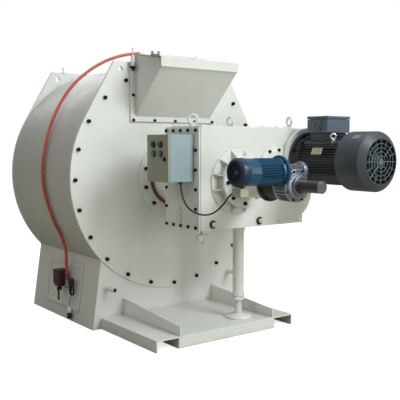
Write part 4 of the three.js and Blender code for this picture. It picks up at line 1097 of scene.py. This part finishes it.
def add_lead_plug():
    x, y, _ = middle("sensor_plug")
    collar = [(0, 58.2), (10, 58.2), (10.5, 60), (10.5, 90), (6, 97.9), (0, 97.9)]
    turned_piece("plug_collar", collar, PALE, sides=24, closed=False,
                 centre=(x, y, 0), axis=UP)
    body = [(0, 20.2), (11, 20.2), (15, 25), (15, 50), (11, 58.1), (0, 58.1)]
    turned_piece("plug_body", body, BLACK, ["sensor_plug"], sides=28, closed=False,
                 centre=(x, y, 0), axis=UP)


def add_lead_wrap():
    """The oval sleeve, with two bands, that binds the narrow end of the hank."""
    x, y, _ = middle("sensor_hank")
    half_x, half_y, sides = 14.5, 23.5, 32
    outline = [(0.5, 237), (0.86, 239), (0.97, 244)]
    for band in (250, 270):
        outline += [(0.98, band - 3), (1.05, band - 2), (1.05, band + 2), (0.98, band + 3)]
    outline += [(0.9, 280), (0.7, 284), (0.4, 285.5)]
    angles = [math.tau * k / sides for k in range(sides)]
    wrap = Shape()
    wrap.rings([[(x + half_x * size * math.cos(a), y + half_y * size * math.sin(a), z) for a in angles]
                for size, z in outline])
    piece("lead_hank_wrap", wrap, BLACK)


for add_part in (add_drum, add_plate_screws, add_base, add_water_stubs, add_chute, add_hose_post,
                 add_rear_plate_pin, add_lid_fittings, add_hub, add_case, add_case_top, add_oil_gauge,
                 add_oil_plugs, add_bearing_caps, add_main_motor, add_motor_cowl, add_motor_box,
                 add_motor_fittings, add_spindle, add_worm_box, add_adjuster_motor, add_adjuster_box,
                 add_controls, add_jack, add_valve, add_lead_plug, add_lead_wrap):
    add_part()
paint(["drum_liner", "grinding_bar_1", "grinding_bar_2", "grinding_bar_3", "grinding_bar_4",
       "thrust_spider"], GREY_IRON)
paint(["rotor_shaft", "main_gear", "layshaft", "layshaft_gear", "second_shaft", "second_gear",
       "main_motor_shaft", "worm_wheel", "pull_rod", "adjuster_shaft"], STEEL)


# ------------------------------------------------------------------ stage
def camera_only(tree, seen, unseen):
    """Mixes two shaders: the one that the camera sees, and the one that lights the object."""
    path = tree.nodes.new("ShaderNodeLightPath")
    mix = tree.nodes.new("ShaderNodeMixShader")
    tree.links.new(path.outputs["Is Camera Ray"], mix.inputs["Fac"])
    tree.links.new(unseen, mix.inputs[1])
    tree.links.new(seen, mix.inputs[2])
    return mix.outputs["Shader"]


def add_floor():
    bpy.ops.mesh.primitive_plane_add(size=80, location=(0, 0, -0.0005))
    floor = bpy.context.object
    floor.name = "studio_floor"
    g = Graph("studio_floor")
    g.link(g.mix(g.noise(0.6, 2), (0.86, 0.86, 0.86), (0.9, 0.9, 0.9)), g.shader.inputs["Base Color"])
    g.shader.inputs["Roughness"].default_value = 1.0
    g.shader.inputs["Specular IOR Level"].default_value = 0.0
    g.shader.inputs["Emission Color"].default_value = (1, 1, 1, 1)
    g.shader.inputs["Emission Strength"].default_value = 0.72
    dull = g.nodes.new("ShaderNodeBsdfDiffuse")
    dull.inputs["Color"].default_value = (0.32, 0.3, 0.225, 1)
    mixed = camera_only(g.material.node_tree, g.shader.outputs["BSDF"], dull.outputs["BSDF"])
    g.link(mixed, g.nodes["Material Output"].inputs["Surface"])
    floor.data.materials.append(g.material)


def add_area(name, place, target, size, energy, colour=(1, 1, 1)):
    data = bpy.data.lights.new(name, "AREA")
    data.size = size
    data.energy = energy
    data.color = colour
    lamp = bpy.data.objects.new(name, data)
    lamp.location = place
    lamp.rotation_mode = "QUATERNION"
    lamp.rotation_quaternion = (Vector(target) - Vector(place)).to_track_quat("-Z", "Y")
    bpy.context.scene.collection.objects.link(lamp)


def add_world():
    """White for the camera; for the light, brighter above than at the sides."""
    world = bpy.data.worlds.new("studio")
    bpy.context.scene.world = world
    world.use_nodes = True
    nodes, links = world.node_tree.nodes, world.node_tree.links
    soft, seen = nodes["Background"], nodes.new("ShaderNodeBackground")
    place, split = nodes.new("ShaderNodeTexCoord"), nodes.new("ShaderNodeSeparateXYZ")
    ramp = nodes.new("ShaderNodeValToRGB")
    links.new(place.outputs["Generated"], split.inputs["Vector"])
    links.new(split.outputs["Z"], ramp.inputs["Fac"])
    low, high = ramp.color_ramp.elements
    low.position, low.color = 0.0, (0.11, 0.098, 0.07, 1)
    high.position, high.color = 0.8, (0.43, 0.45, 0.47, 1)
    links.new(ramp.outputs["Color"], soft.inputs["Color"])
    seen.inputs["Color"].default_value = (1, 1, 1, 1)
    mixed = camera_only(world.node_tree, seen.outputs["Background"], soft.outputs["Background"])
    links.new(mixed, nodes["World Output"].inputs["Surface"])


add_floor()
add_area("key", (2.5, -8.4, 6.4), (0, -0.6, 1.0), 3.6, 630, (0.9, 0.965, 1.0))
add_area("top", (0.8, -0.8, 4.6), (0.2, -0.4, 0.8), 3.0, 28, (0.96, 0.99, 1.0))
add_area("front", (0.8, -9.5, 1.3), (0, -0.5, 0.8), 3.0, 152, (0.98, 1.0, 0.99))
add_area("fill", (-5.0, -2.4, 3.8), (0, -0.2, 1.4), 2.4, 34, (0.94, 0.97, 1.0))
add_area("back", (0.5, 5.0, 3.4), (0, 0, 0.9), 3.0, 60)
add_world()
bpy.context.scene.view_settings.view_transform = "Standard"
